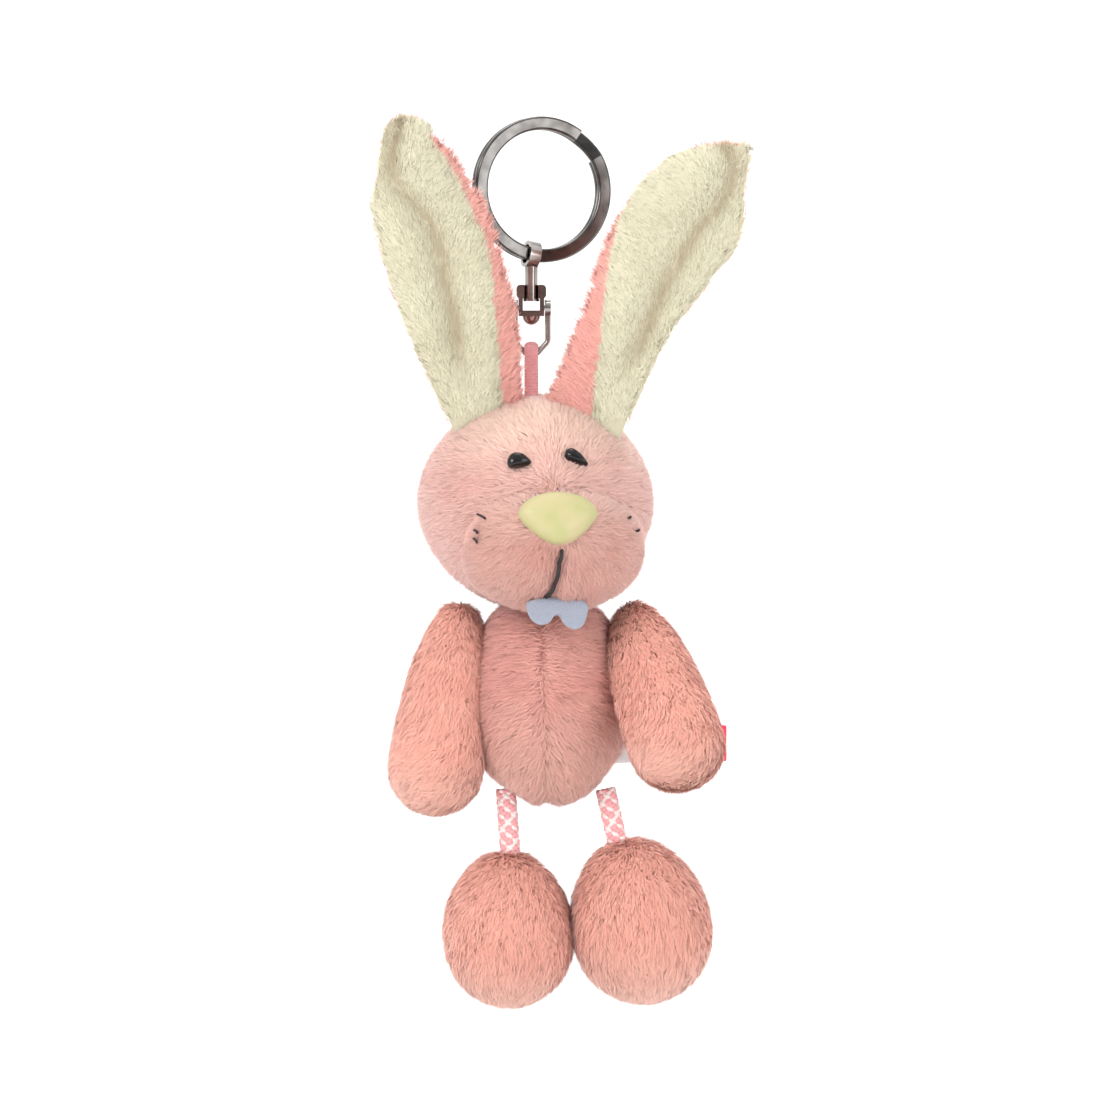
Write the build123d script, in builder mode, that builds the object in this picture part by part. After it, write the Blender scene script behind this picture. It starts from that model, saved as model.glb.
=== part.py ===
from build123d import *
from math import asin, atan2, cos, hypot, radians, sin, sqrt, tan
import os

os.makedirs("parts", exist_ok=True)

# A plush rabbit on a split ring, hanging as it is carried. Millimetres, +Z up, -Y to the front.
# The origin is the inside of the ring, straight above the swivel, where a hook would carry it.

# --- Split ring: two turns of flat wire with a short step between them ---
ring_diameter = 25.0
ring_band = 2.3
coil_thickness = 1.15
coil_gap = 0.05
coil_corner = 0.4
ring_turn = 22.0
ring_step_at = 54.0
ring_step_sweep = 24.0
ring_end_gap = 1.5
swivel_off_lowest = 1.9

# --- Swivel: eye with a stem, cage, rivet and wire loop ---
eye_clearance = 0.18
eye_wall = 0.65
eye_width = 2.0
stem_radius = 1.1
stem_clearance = 0.08
flange_lip = 0.17
flange_thickness = 0.4
flange_clearance = 0.06
flange_side_room = 0.1
stem_length = 5.2
collar_height = 2.35
collar_wall = 0.12
collar_ledge = 0.35
collar_corner = 0.7
window_height = 2.05
cage_wall = 0.75
cage_setback = 0.1
lower_bar_height = 0.95
rivet_shank_radius = 0.8
rivet_head_radius = 1.5
rivet_head_height = 1.5
loop_pin_above_bar = 0.5
loop_pin_radius = 0.4
loop_pin_clearance = 0.06
loop_tab_radius = 1.35
loop_tab_thickness = 1.05
loop_side_clearance = 0.1
loop_wire = 1.0
loop_leg_length = 5.8
loop_point_drop = 3.1
loop_knee_radius = 1.2
loop_point_radius = 1.8

# --- Hanging cord: a flat ribbed cord over the wire loop, both legs sewn into the head ---
hang_cord_width = 2.5
hang_cord_thickness = 1.7
hang_cord_clearance = 0.1
hang_cord_drop = 6.7
hang_cord_sunk = 1.2
tilt_line_sunk = 0.4
socket_clearance = 0.35

# --- Plush ---
fabric = 1.2
fill_clearance = 0.1
skin_gap = 0.3
thread = 0.7

# Head: a wide egg lying along its own X, turned a little to the right, and a muzzle in front.
head_height = 37.0
head_longer = 3.8
head_end_step = 4.0
head_x = 0.7
head_y = 1.5
head_turn = 12.0
muzzle_width = 31.6
muzzle_height = 22.6
muzzle_end_radius = 9.5
muzzle_forward = 12.0
muzzle_drop = 7.6
muzzle_side = 0.3

# Face: eyes, nose, mouth, whiskers and teeth, as offsets from the head's centre in its own frame.
eye_bead_radius = 1.95
eye_spacing = 9.6
eye_height = 7.8
eye_side = -1.25
eye_stand = 0.3
eye_shank_radius = 0.7
eye_shank_length = 4.2
washer_radius = 2.4
washer_thickness = 0.8
nose_width = 13.4
nose_height = 9.2
nose_corner = 2.4
nose_thickness = 1.1
nose_z = -2.9
nose_side = -0.8
mouth_length = 7.0
mouth_z = -12.3
mouth_side = -1.2
mouth_lean = 12.0
whisker_length = 2.2
whisker_width = 0.5
whisker_spread = 12.2
whisker_z = -6.0
tooth_radius = 2.55
tooth_thickness = 1.0
teeth_forward = 19.2
teeth_z = -18.3

# Ears: flat outlines along the base line and up the ear, sewn up from a lining and a back.
ear_layer = 1.8
ear_lean = 18.0
ear_base_y = -5.0
ear_seat = 0.65
left_ear_x = -8.0
left_ear_slope = 26.0
right_ear_x = 10.8
right_ear_slope = -25.0
left_ear_outline = [(-6.8, 13), (-5.7, 25), (-2.7, 38), (1.6, 46), (6.4, 50), (11, 47.6), (13.4, 38),
                    (13.9, 28.5), (12.6, 20), (10, 9)]
right_ear_outline = [(-7.6, 9), (-8.6, 17), (-9.4, 27), (-8.2, 36), (-4.8, 43.5), (0.6, 49.2), (6, 50.3),
                     (8.8, 44.5), (10, 36), (9, 27), (7.2, 17), (6.6, 8)]
ear_foot_half = 7.0

# Torso: an egg standing on its wide end, its flat top under the head.
neck_gap = 0.9
torso_length = 32.7
torso_top_radius = 11.0
torso_bottom_radius = 12.6
torso_bulge = 24.0
torso_cap_cut = 6.0
torso_x = 2.8
torso_y = 2.5
tail_radius = 5.2
tail_sink = 0.6
tail_height = 8.6
label_width = 7.0
label_length = 3.2
label_thickness = 0.4
label_height = 10.8
label_out = 0.3

# Arms: teardrops from the shoulder to the paw; each stands off the torso's widest line.
arm_length = 36.4
shoulder_radius = 3.4
paw_radius = 7.9
arm_bulge = 60.0
shoulder_drop = 1.4
left_shoulder_out = 0.9
left_shoulder_y = 0.5
left_arm_out = 8.5
left_arm_forward = 7.0
right_shoulder_out = 0.6
right_shoulder_y = 0.0
right_arm_out = 15.5
right_arm_forward = 33.0
side_tag_height = 6.1
side_tag_length = 3.6
side_tag_thickness = 0.5
side_tag_turn = 35.0

# Legs and feet: each leg is a rope from the torso's underside to the top of its foot.
leg_cord_radius = 1.95
leg_y = 2.0
hip_height = 2.2
hip_dimple = 3.4
left_hip_out = -7.2
right_hip_out = 9.9
left_leg_drop = 10.0
right_leg_drop = 9.0
left_ankle_out = 0.8
right_ankle_out = 2.3
ankle_dimple = 2.9
left_foot_width = 22.6
right_foot_width = 24.4
left_foot_length = 26.8
right_foot_length = 28.6
left_foot_out = 0.0
right_foot_out = 3.1
left_foot_sink = 0.4
right_foot_sink = 1.8
left_foot_roll = 4.0
right_foot_roll = 12.0
feet_meeting_slope = 13.0
foot_heel_share = 0.86


def egg_outline(low, high, spread, bulge, inset):
    """Right half of an egg: end arcs centred on the axis, joined by one side curve tangent to both."""
    low_c = Vector(0, -spread / 2)
    high_c = Vector(0, spread / 2)
    from_low = bulge - low
    from_high = bulge - high
    along = (from_low**2 - from_high**2) / (2 * spread)
    side_c = Vector(-sqrt(from_low**2 - (along + spread / 2) ** 2), along)
    low_r = low - inset
    high_r = high - inset
    bottom = low_c - Vector(0, low_r)
    top = high_c + Vector(0, high_r)
    low_join = low_c + (low_c - side_c).normalized() * low_r
    high_join = high_c + (high_c - side_c).normalized() * high_r
    low_way = (low_c - side_c).normalized()
    high_way = (high_c - side_c).normalized()
    side_angle = radians(low_way.get_angle(high_way))
    handle = 4 / 3 * tan(side_angle / 4) * (bulge - inset)
    low_handle = low_join + Vector(-low_way.Y, low_way.X) * handle
    high_handle = high_join - Vector(-high_way.Y, high_way.X) * handle
    low_mid = low_c + ((low_join - low_c).normalized() + Vector(0, -1)).normalized() * low_r
    high_mid = high_c + ((high_join - high_c).normalized() + Vector(0, 1)).normalized() * high_r
    ThreePointArc(bottom, low_mid, low_join)
    Bezier(low_join, low_handle, high_handle, high_join)
    ThreePointArc(high_join, high_mid, top)
    Line(top, bottom)


def egg(shape, place, inset=0.0, wall=0.0, start=0.0, sweep=360.0, half=0):
    """Egg about its own Z at a place: solid or a wall, all round or a sector, whole or one end."""
    with BuildPart() as blank:
        with BuildSketch(Plane.XZ):
            with BuildLine():
                egg_outline(*shape, inset)
            make_face()
            if wall:
                with BuildLine():
                    egg_outline(*shape, inset + wall)
                make_face(mode=Mode.SUBTRACT)
            if half:
                with Locations((0, half * 100)):
                    Rectangle(200, 200, mode=Mode.INTERSECT)
        revolve(axis=Axis.Z, revolution_arc=sweep)
    return blank.part.moved(place * Location((0, 0, 0), (0, 0, start)))


def side_bulge(width, length, end_radius):
    """Side arc radius of an egg with equal ends, from its width, its length and its end radius."""
    half_spread = length / 2 - end_radius
    spare = width / 2 - end_radius
    centre_in = (half_spread**2 - spare**2) / (2 * spare)
    return width / 2 + centre_in


def export_piece(piece, name):
    """Label one finished piece and write it to its own file."""
    piece.part.label = name
    export_step(piece.part, f"parts/{name}.step")


def egg_half_width(shape):
    """Radius of an egg at its widest."""
    low, high, spread, bulge = shape
    from_low = bulge - low
    along = (from_low**2 - (bulge - high) ** 2) / (2 * spread)
    return bulge - sqrt(from_low**2 - (along + spread / 2) ** 2)


# --- Ring frame ---
ring_mid = ring_diameter / 2 - ring_band / 2
ring_inner = ring_diameter / 2 - ring_band
along_ring = Vector(cos(radians(ring_turn)), sin(radians(ring_turn)), 0)
out_of_ring = Vector(sin(radians(ring_turn)), -cos(radians(ring_turn)), 0)
ring_z = -sqrt(ring_inner**2 - swivel_off_lowest**2)
ring_centre = along_ring * swivel_off_lowest + Vector(0, 0, ring_z)
ring_plane = Plane(ring_centre, x_dir=along_ring, z_dir=out_of_ring)
coil_offset = (coil_thickness + coil_gap) / 2


def coil_section():
    """The wire's section, its outside corners rounded."""
    RectangleRounded(ring_band, coil_thickness, coil_corner)


# Split ring: front turn, step and back turn, fused into one length of wire.
with BuildPart() as coil:
    ring_arc = 360 - ring_step_sweep
    with BuildSketch(Plane.XZ) as back_section:
        with Locations((ring_mid, -coil_offset)):
            coil_section()
    revolve(axis=Axis.Z, revolution_arc=ring_arc - ring_end_gap)
    with BuildLine():
        Helix(
            pitch=2 * coil_offset * 360 / ring_step_sweep,
            height=2 * coil_offset,
            radius=ring_mid,
            center=(0, 0, -coil_offset),
            lefthand=True,
        )
    sweep(sections=back_section.sketch, is_frenet=True)
    with BuildSketch(Plane.XZ.rotated((0, 0, ring_end_gap))):
        with Locations((ring_mid, coil_offset)):
            coil_section()
    revolve(axis=Axis.Z, revolution_arc=ring_arc - ring_end_gap)
with BuildPart() as split_ring:
    add(coil.part.moved(Location(ring_plane) * Location((0, 0, 0), (0, 0, ring_step_at))))
export_piece(split_ring, "split_ring")

# Swivel eye: a short barrel round the ring's wire, a stem and the flange that turns in the cage.
eye_z = ring_z - sqrt(ring_mid**2 - swivel_off_lowest**2)
wire_corner_reach = hypot(ring_band / 2 - coil_corner, coil_offset + coil_thickness / 2 - coil_corner)
eye_hole = wire_corner_reach + coil_corner + eye_clearance
eye_radius = eye_hole + eye_wall
eye_lean = asin(swivel_off_lowest / ring_mid)
eye_axis = along_ring * cos(eye_lean) - Vector(0, 0, sin(eye_lean))
eye_plane = Plane((0, 0, eye_z), x_dir=out_of_ring, z_dir=eye_axis)
collar_top = eye_z - stem_length
window_top = collar_top - collar_height
window_bottom = window_top - window_height
cage_bottom = window_bottom - lower_bar_height
loop_pin_z = window_bottom + loop_pin_above_bar
loop_knee_z = loop_pin_z - loop_leg_length
loop_point_z = loop_knee_z - loop_point_drop
flange_top = window_top - flange_clearance
stem_hole = stem_radius + stem_clearance
flange_radius = stem_hole + flange_lip
window_width = 2 * (flange_radius + flange_side_room)
cage_width = window_width + 2 * cage_wall
collar_width = cage_width + 2 * collar_ledge
collar_depth = 2 * (stem_hole + collar_wall)
cage_depth = collar_depth - 2 * cage_setback
with BuildPart() as swivel_eye:
    with BuildSketch(eye_plane):
        Circle(eye_radius)
    extrude(amount=eye_width / 2, both=True)
    with BuildSketch(Plane.XY.offset(flange_top - flange_thickness)):
        Circle(stem_radius)
    extrude(amount=eye_z - eye_hole - flange_top + flange_thickness)
    with BuildSketch(eye_plane):
        Circle(eye_hole)
    extrude(amount=eye_width, both=True, mode=Mode.SUBTRACT)
    with BuildSketch(Plane.XY.offset(flange_top - flange_thickness)):
        Circle(flange_radius)
    extrude(amount=flange_thickness)
export_piece(swivel_eye, "swivel_eye")

# Swivel cage: a collar open to the front, so the stem shows, over a small window frame.
pin_hole = loop_pin_radius + loop_pin_clearance
with BuildPart() as swivel_cage:
    with BuildSketch(Plane.XZ):
        with Locations((0, (collar_top + window_top) / 2)):
            RectangleRounded(collar_width, collar_top - window_top, collar_corner)
    extrude(amount=collar_depth / 2, both=True)
    with BuildSketch(Plane.XZ):
        with Locations((0, (collar_top - collar_corner + cage_bottom) / 2)):
            Rectangle(cage_width, collar_top - collar_corner - cage_bottom)
    extrude(amount=cage_depth / 2, both=True)
    with BuildSketch(Plane.XZ):
        with Locations((0, (window_top + window_bottom) / 2)):
            Rectangle(window_width, window_top - window_bottom)
    extrude(amount=collar_depth, both=True, mode=Mode.SUBTRACT)
    with BuildSketch(Plane.XY.offset(collar_top)):
        Circle(stem_hole)
        with Locations((0, -collar_depth / 2)):
            Rectangle(2 * stem_hole, collar_depth)
    extrude(amount=window_top - collar_top, mode=Mode.SUBTRACT)
    with BuildSketch(Plane.XY.offset(window_bottom)):
        Circle(rivet_shank_radius)
    extrude(amount=cage_bottom - window_bottom, mode=Mode.SUBTRACT)
    with BuildSketch(Plane.YZ):
        with Locations((0, loop_pin_z)):
            Circle(pin_hole)
    extrude(amount=cage_width, both=True, mode=Mode.SUBTRACT)
export_piece(swivel_cage, "swivel_cage")

# Rivet: a shank through the lower bar and a domed head under it.
with BuildPart() as swivel_rivet:
    with BuildSketch(Plane.XY.offset(cage_bottom)):
        Circle(rivet_shank_radius)
    extrude(amount=window_bottom - cage_bottom)
    with BuildSketch(Plane.XZ):
        with BuildLine():
            Line((0, cage_bottom), (rivet_head_radius, cage_bottom))
            TangentArc((rivet_head_radius, cage_bottom), (0, cage_bottom - rivet_head_height), tangent=(0, -1))
            Line((0, cage_bottom - rivet_head_height), (0, cage_bottom))
        make_face()
    revolve(axis=Axis.Z)
export_piece(swivel_rivet, "swivel_rivet")

# Wire loop: a D of round wire with a flattened tab and a pin at each end.
tab_inside = cage_width / 2 + loop_side_clearance
loop_side = tab_inside + loop_tab_thickness / 2
with BuildPart() as wire_loop:
    with BuildLine(Plane.XZ) as loop_path:
        FilletPolyline(
            (-loop_side, loop_pin_z - loop_wire / 2),
            (-loop_side, loop_knee_z),
            (0, loop_point_z),
            (loop_side, loop_knee_z),
            (loop_side, loop_pin_z - loop_wire / 2),
            radius=[loop_knee_radius, loop_point_radius, loop_knee_radius],
        )
    with BuildSketch(Plane(loop_path.line @ 0, z_dir=loop_path.line % 0)):
        Circle(loop_wire / 2)
    sweep()
    for side in (-1, 1):
        with BuildSketch(Plane.YZ.offset(side * tab_inside)):
            with Locations((0, loop_pin_z)):
                Circle(loop_tab_radius)
        extrude(amount=side * loop_tab_thickness)
        with BuildSketch(Plane.YZ.offset(side * window_width / 2)):
            with Locations((0, loop_pin_z)):
                Circle(loop_pin_radius)
        extrude(amount=side * (tab_inside - window_width / 2))
export_piece(wire_loop, "wire_loop")

# Hanging cord: a flat cord round the bottom of the wire loop.
point_half_angle = atan2(loop_side, loop_point_drop)
loop_bottom = loop_point_z + loop_point_radius * (1 / sin(point_half_angle) - 1)
cord_bend = loop_wire / 2 + hang_cord_clearance + hang_cord_thickness / 2
head_top = loop_bottom - hang_cord_drop
hang_cord_end = head_top - hang_cord_sunk
head_tilt_z = head_top - tilt_line_sunk
with BuildPart() as hang_loop:
    with BuildLine(Plane.YZ) as hang_path:
        Line((cord_bend, hang_cord_end), (cord_bend, loop_bottom))
        ThreePointArc((cord_bend, loop_bottom), (0, loop_bottom + cord_bend), (-cord_bend, loop_bottom))
        Line((-cord_bend, loop_bottom), (-cord_bend, hang_cord_end))
    with BuildSketch(Plane((0, cord_bend, hang_cord_end))):
        Ellipse(hang_cord_width / 2, hang_cord_thickness / 2)
    sweep()
export_piece(hang_loop, "hang_loop")
hang_cord_length = sum(edge.length for edge in hang_path.edges())
print("hanging cord length", round(hang_cord_length, 2), "bend radius", round(cord_bend, 2))

# --- Head blanks ---
head_z = head_top - head_height / 2
head_place = Location((head_x, head_y, head_z), (0, 0, head_turn))
along_x = Location((0, 0, 0), (0, 90, 0))
head_egg_place = head_place * along_x
head_width = head_height + head_longer
head_end_radius = head_height / 2 - head_end_step
head_spread = head_width - 2 * head_end_radius
head_bulge = side_bulge(head_height, head_width, head_end_radius)
head_shape = (head_end_radius, head_end_radius, head_spread, head_bulge)
muzzle_place = head_place * Location((muzzle_side, -muzzle_forward, -muzzle_drop))
muzzle_egg_place = muzzle_place * along_x
muzzle_spread = muzzle_width - 2 * muzzle_end_radius
muzzle_bulge = side_bulge(muzzle_height, muzzle_width, muzzle_end_radius)
muzzle_shape = (muzzle_end_radius, muzzle_end_radius, muzzle_spread, muzzle_bulge)
head_solid = egg(head_shape, head_egg_place)
head_inside = egg(head_shape, head_egg_place, inset=fabric)
muzzle_solid = egg(muzzle_shape, muzzle_egg_place)
muzzle_inside = egg(muzzle_shape, muzzle_egg_place, inset=fabric)

# Socket for the hanging cord's end, which rocks about a front-to-back line.
socket_radius = hypot(hang_cord_width / 2, head_tilt_z - hang_cord_end) + socket_clearance
socket_depth = cord_bend + hang_cord_thickness / 2 + socket_clearance
with BuildPart() as cord_socket:
    with BuildSketch(Plane.XZ):
        with Locations((0, head_tilt_z)):
            Circle(socket_radius)
        with Locations((0, head_tilt_z + socket_radius)):
            Rectangle(2 * socket_radius, 2 * socket_radius)
    extrude(amount=socket_depth, both=True)


def head_radius_at(x):
    """Radius of the head's section at a distance along the head's own X."""
    return head_height / 2 - head_bulge + sqrt(head_bulge**2 - x**2)


def head_top_at(x, y):
    """Height of the head's top surface above a point."""
    turn = radians(head_turn)
    own_x = (x - head_x) * cos(turn) + (y - head_y) * sin(turn)
    own_y = (y - head_y) * cos(turn) - (x - head_x) * sin(turn)
    return head_z + sqrt(head_radius_at(own_x) ** 2 - own_y**2)


def eye_place(side):
    """Place of one eye bead: its Z points out of the head."""
    x = eye_side + side * eye_spacing / 2
    reach = head_radius_at(x) + eye_stand
    y = -sqrt(reach**2 - eye_height**2)
    out = Vector(x * 0.4, y, eye_height)
    return Location(Plane((x, y, eye_height), z_dir=out))


eyes = {"left": head_place * eye_place(-1), "right": head_place * eye_place(1)}
shank_end = -eye_shank_length - washer_thickness
with BuildPart() as shank_holes:
    for place in eyes.values():
        with BuildSketch(Plane(place)):
            Circle(eye_shank_radius)
        extrude(amount=-eye_shank_length - washer_thickness)
        with BuildSketch(Plane(place).offset(-eye_shank_length)):
            Circle(washer_radius)
        extrude(amount=-washer_thickness)
with BuildPart() as bead_room:
    for place in eyes.values():
        with Locations(place):
            Sphere(eye_bead_radius)

# Head skin: two face panels meeting at the forehead seam, a back panel, and the muzzle.
face_sector = {"left": -1, "right": 1}
for side, half in face_sector.items():
    with BuildPart() as face_panel:
        add(egg(head_shape, head_egg_place, wall=fabric, start=180, sweep=180, half=half))
        add(muzzle_inside, mode=Mode.SUBTRACT)
        add(cord_socket.part, mode=Mode.SUBTRACT)
        add(shank_holes.part, mode=Mode.SUBTRACT)
        add(bead_room.part, mode=Mode.SUBTRACT)
    export_piece(face_panel, f"head_{side}_face_panel")
with BuildPart() as head_back_panel:
    add(egg(head_shape, head_egg_place, wall=fabric, sweep=180))
    add(cord_socket.part, mode=Mode.SUBTRACT)
export_piece(head_back_panel, "head_back_panel")
with BuildPart() as muzzle_panel:
    add(egg(muzzle_shape, muzzle_egg_place, wall=fabric))
    add(head_solid, mode=Mode.SUBTRACT)
export_piece(muzzle_panel, "muzzle_panel")
with BuildPart() as head_stuffing:
    add(egg(head_shape, head_egg_place, inset=fabric + fill_clearance))
    add(egg(muzzle_shape, muzzle_egg_place, inset=fabric + fill_clearance))
    add(cord_socket.part, mode=Mode.SUBTRACT)
    add(shank_holes.part, mode=Mode.SUBTRACT)
    add(bead_room.part, mode=Mode.SUBTRACT)
export_piece(head_stuffing, "head_stuffing")

# Eyes: a black bead with a moulded shank, and a pressed washer behind the fabric.
for side, place in eyes.items():
    with BuildPart() as eye_bead:
        with Locations(place):
            Sphere(eye_bead_radius)
        with BuildSketch(Plane(place)):
            Circle(eye_shank_radius)
        extrude(amount=-eye_shank_length - washer_thickness)
    export_piece(eye_bead, f"{side}_eye")
with BuildPart() as eye_washers:
    for place in eyes.values():
        with BuildSketch(Plane(place).offset(-eye_shank_length)):
            Circle(washer_radius)
            Circle(eye_shank_radius, mode=Mode.SUBTRACT)
        extrude(amount=-washer_thickness)
export_piece(eye_washers, "eye_washers")

# Nose, mouth and whiskers: cut out of thin layers that follow the muzzle.
front_plane = Plane(muzzle_place * Location((0, 0, muzzle_drop), (90, 0, 0)))
with BuildPart() as nose:
    with BuildSketch(front_plane):
        with BuildLine():
            Polyline(
                (nose_side - nose_width / 2, nose_z + nose_height * 0.35),
                (nose_side, nose_z + nose_height / 2),
                (nose_side + nose_width / 2, nose_z + nose_height * 0.35),
                (nose_side, nose_z - nose_height / 2),
                close=True,
            )
        make_face()
        fillet(vertices(), radius=nose_corner)
    extrude(amount=muzzle_height)
    add(egg(muzzle_shape, muzzle_egg_place, inset=-nose_thickness), mode=Mode.INTERSECT)
    add(muzzle_solid, mode=Mode.SUBTRACT)
    add(head_solid, mode=Mode.SUBTRACT)
export_piece(nose, "nose")
with BuildPart() as mouth_thread:
    with BuildSketch(front_plane):
        with Locations(Location((mouth_side, mouth_z), (0, 0, -mouth_lean))):
            SlotOverall(mouth_length, thread, rotation=90)
    extrude(amount=muzzle_height)
    add(egg(muzzle_shape, muzzle_egg_place, inset=-thread / 2), mode=Mode.INTERSECT)
    add(muzzle_solid, mode=Mode.SUBTRACT)
export_piece(mouth_thread, "mouth_thread")
with BuildPart() as whisker_stitches:
    with BuildSketch(front_plane):
        for side in (-1, 1):
            for row in (-1, 0, 1):
                stitch = Location((side * whisker_spread, whisker_z + 2.3 * row), (0, 0, -side * 35))
                with Locations(stitch):
                    SlotOverall(whisker_length, whisker_width)
    extrude(amount=muzzle_height)
    add(egg(muzzle_shape, muzzle_egg_place, inset=-whisker_width / 2), mode=Mode.INTERSECT)
    add(muzzle_solid, mode=Mode.SUBTRACT)
    add(head_solid, mode=Mode.SUBTRACT)
export_piece(whisker_stitches, "whisker_stitches")

# Teeth: one piece of felt with two round lobes, hanging from the front of the chin.
teeth_plane = Plane(head_place * Location((muzzle_side, -teeth_forward, teeth_z), (90, 0, 0)))
with BuildPart() as teeth:
    with BuildSketch(teeth_plane):
        for side in (-1, 1):
            with Locations((side * tooth_radius, 0)):
                Circle(tooth_radius)
        Rectangle(2 * tooth_radius, 2 * tooth_radius)
        with Locations((0, -tooth_radius)):
            Circle(tooth_radius * 0.45, mode=Mode.SUBTRACT)
    extrude(amount=tooth_thickness)
    add(muzzle_solid, mode=Mode.SUBTRACT)
export_piece(teeth, "teeth")


# --- Ears ---
def ear_plane(x, slope):
    """The ear's middle plane: X along its foot, Y up the ear, Z to the front."""
    foot = Vector(cos(radians(slope)), 0, sin(radians(slope)))
    rise = Vector(-sin(radians(slope)) * cos(radians(ear_lean)), -sin(radians(ear_lean)),
                  cos(radians(slope)) * cos(radians(ear_lean)))
    foot_z = head_top_at(x, ear_base_y) + ear_seat + ear_layer
    return Plane((x, ear_base_y, foot_z), x_dir=foot, z_dir=foot.cross(rise))


ears = {
    "left": (ear_plane(left_ear_x, left_ear_slope), left_ear_outline),
    "right": (ear_plane(right_ear_x, right_ear_slope), right_ear_outline),
}
for side, (plane, outline) in ears.items():
    foot_left = (-ear_foot_half, 0)
    foot_right = (ear_foot_half, 0)
    for layer, toward in (("lining", 1), ("back", -1)):
        with BuildPart() as ear_piece:
            with BuildSketch(plane):
                with BuildLine():
                    Spline(foot_left, *outline, foot_right)
                    Line(foot_right, foot_left)
                make_face()
            extrude(amount=toward * ear_layer)
            with BuildSketch(Plane(plane.origin, x_dir=plane.y_dir, z_dir=plane.x_dir)):
                Circle(ear_layer)
            extrude(amount=ear_foot_half, both=True)
            split(bisect_by=plane, keep=Keep.TOP if toward > 0 else Keep.BOTTOM)
        export_piece(ear_piece, f"{side}_ear_{layer}")

# --- Torso ---
torso_top = head_z - head_height / 2 - neck_gap
torso_bottom = torso_top - torso_length
torso_spread = torso_length + torso_cap_cut - torso_top_radius - torso_bottom_radius
neck_radius = sqrt(torso_top_radius**2 - (torso_top_radius - torso_cap_cut) ** 2)
torso_mid_z = torso_bottom + torso_bottom_radius + torso_spread / 2
torso_place = Location((torso_x, torso_y, torso_mid_z))
torso_shape = (torso_bottom_radius, torso_top_radius, torso_spread, torso_bulge)
torso_radius = egg_half_width(torso_shape)
torso_solid = egg(torso_shape, torso_place)
torso_clear = egg(torso_shape, torso_place, inset=-skin_gap)
head_clear = egg(head_shape, head_egg_place, inset=-skin_gap)
hip_z = torso_bottom + hip_height
hips = {"left": torso_x + left_hip_out, "right": torso_x + right_hip_out}
with BuildPart() as hip_dimples:
    for x in hips.values():
        with Locations((x, leg_y, hip_z)):
            Sphere(hip_dimple)
with BuildPart() as neck_ring:
    with Locations((torso_x, torso_y, torso_top)):
        Torus(neck_radius - fabric / 2, thread / 4)
with BuildPart() as above_neck:
    with BuildSketch(Plane.XY.offset(torso_top)):
        Circle(2 * torso_radius)
    extrude(amount=torso_radius)
torso_cuts = [above_neck.part, hip_dimples.part, neck_ring.part]
torso_sectors = {"left_front": (180, 90), "right_front": (270, 90), "back": (0, 180)}
for name, (start, sweep_angle) in torso_sectors.items():
    with BuildPart() as torso_panel:
        add(egg(torso_shape, torso_place, wall=fabric, start=start, sweep=sweep_angle))
        add(torso_cuts, mode=Mode.SUBTRACT)
    export_piece(torso_panel, f"torso_{name}_panel")
with BuildPart() as torso_stuffing:
    add(egg(torso_shape, torso_place, inset=fabric + fill_clearance))
    add(torso_cuts, mode=Mode.SUBTRACT)
export_piece(torso_stuffing, "torso_stuffing")
with BuildPart() as neck_thread:
    add(neck_ring.part)
export_piece(neck_thread, "neck_thread")
with BuildPart() as tail:
    with Locations((torso_x, torso_y + torso_radius + tail_sink, torso_bottom + tail_height)):
        Sphere(tail_radius)
    add(torso_solid, mode=Mode.SUBTRACT)
export_piece(tail, "tail")
with BuildPart() as care_label:
    with Locations((torso_x + torso_radius + label_out, torso_y, torso_bottom + label_height)):
        Box(2 * label_length, label_thickness, label_width)
    add(torso_solid, mode=Mode.SUBTRACT)
export_piece(care_label, "care_label")


# --- Arms ---
def arm_place(shoulder, out, forward):
    """Shoulder frame: its Z runs down the arm, leaning sideways and to the front."""
    down = Vector(sin(radians(out)), -cos(radians(out)) * sin(radians(forward)),
                  -cos(radians(out)) * cos(radians(forward)))
    return Location(Plane(shoulder, x_dir=(0, 1, 0), z_dir=down))


arm_spread = arm_length - shoulder_radius - paw_radius
arm_shape = (shoulder_radius, paw_radius, arm_spread, arm_bulge)
shoulder_z = torso_top - shoulder_drop
left_shoulder = (torso_x - torso_radius - left_shoulder_out, left_shoulder_y, shoulder_z)
right_shoulder = (torso_x + torso_radius + right_shoulder_out, right_shoulder_y, shoulder_z)
arms = {
    "left": arm_place(left_shoulder, -left_arm_out, left_arm_forward),
    "right": arm_place(right_shoulder, right_arm_out, right_arm_forward),
}
arm_middle = Location((0, 0, arm_spread / 2))
for side, place in arms.items():
    egg_place = place * arm_middle
    for name, start in (("outer", 0), ("inner", 180)):
        with BuildPart() as arm_panel:
            add(egg(arm_shape, egg_place, wall=fabric, start=start, sweep=180))
            add(torso_clear, mode=Mode.SUBTRACT)
            add(head_clear, mode=Mode.SUBTRACT)
        export_piece(arm_panel, f"{side}_arm_{name}_panel")
    with BuildPart() as arm_stuffing:
        add(egg(arm_shape, egg_place, inset=fabric + fill_clearance))
        add(torso_clear, mode=Mode.SUBTRACT)
    export_piece(arm_stuffing, f"{side}_arm_stuffing")

# Red tag: a folded tape sewn into the right paw's outer seam.
paw_centre = Plane(arms["right"] * Location((0, 0, arm_spread))).origin
tag_way = Vector(cos(radians(side_tag_turn)), sin(radians(side_tag_turn)), 0)
tag_spot = paw_centre + tag_way * paw_radius
with BuildPart() as side_tag:
    with Locations(Location(tag_spot, (0, 0, side_tag_turn))):
        Box(side_tag_length, side_tag_thickness, side_tag_height)
    add(egg(arm_shape, arms["right"] * arm_middle), mode=Mode.SUBTRACT)
export_piece(side_tag, "side_tag")

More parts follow.
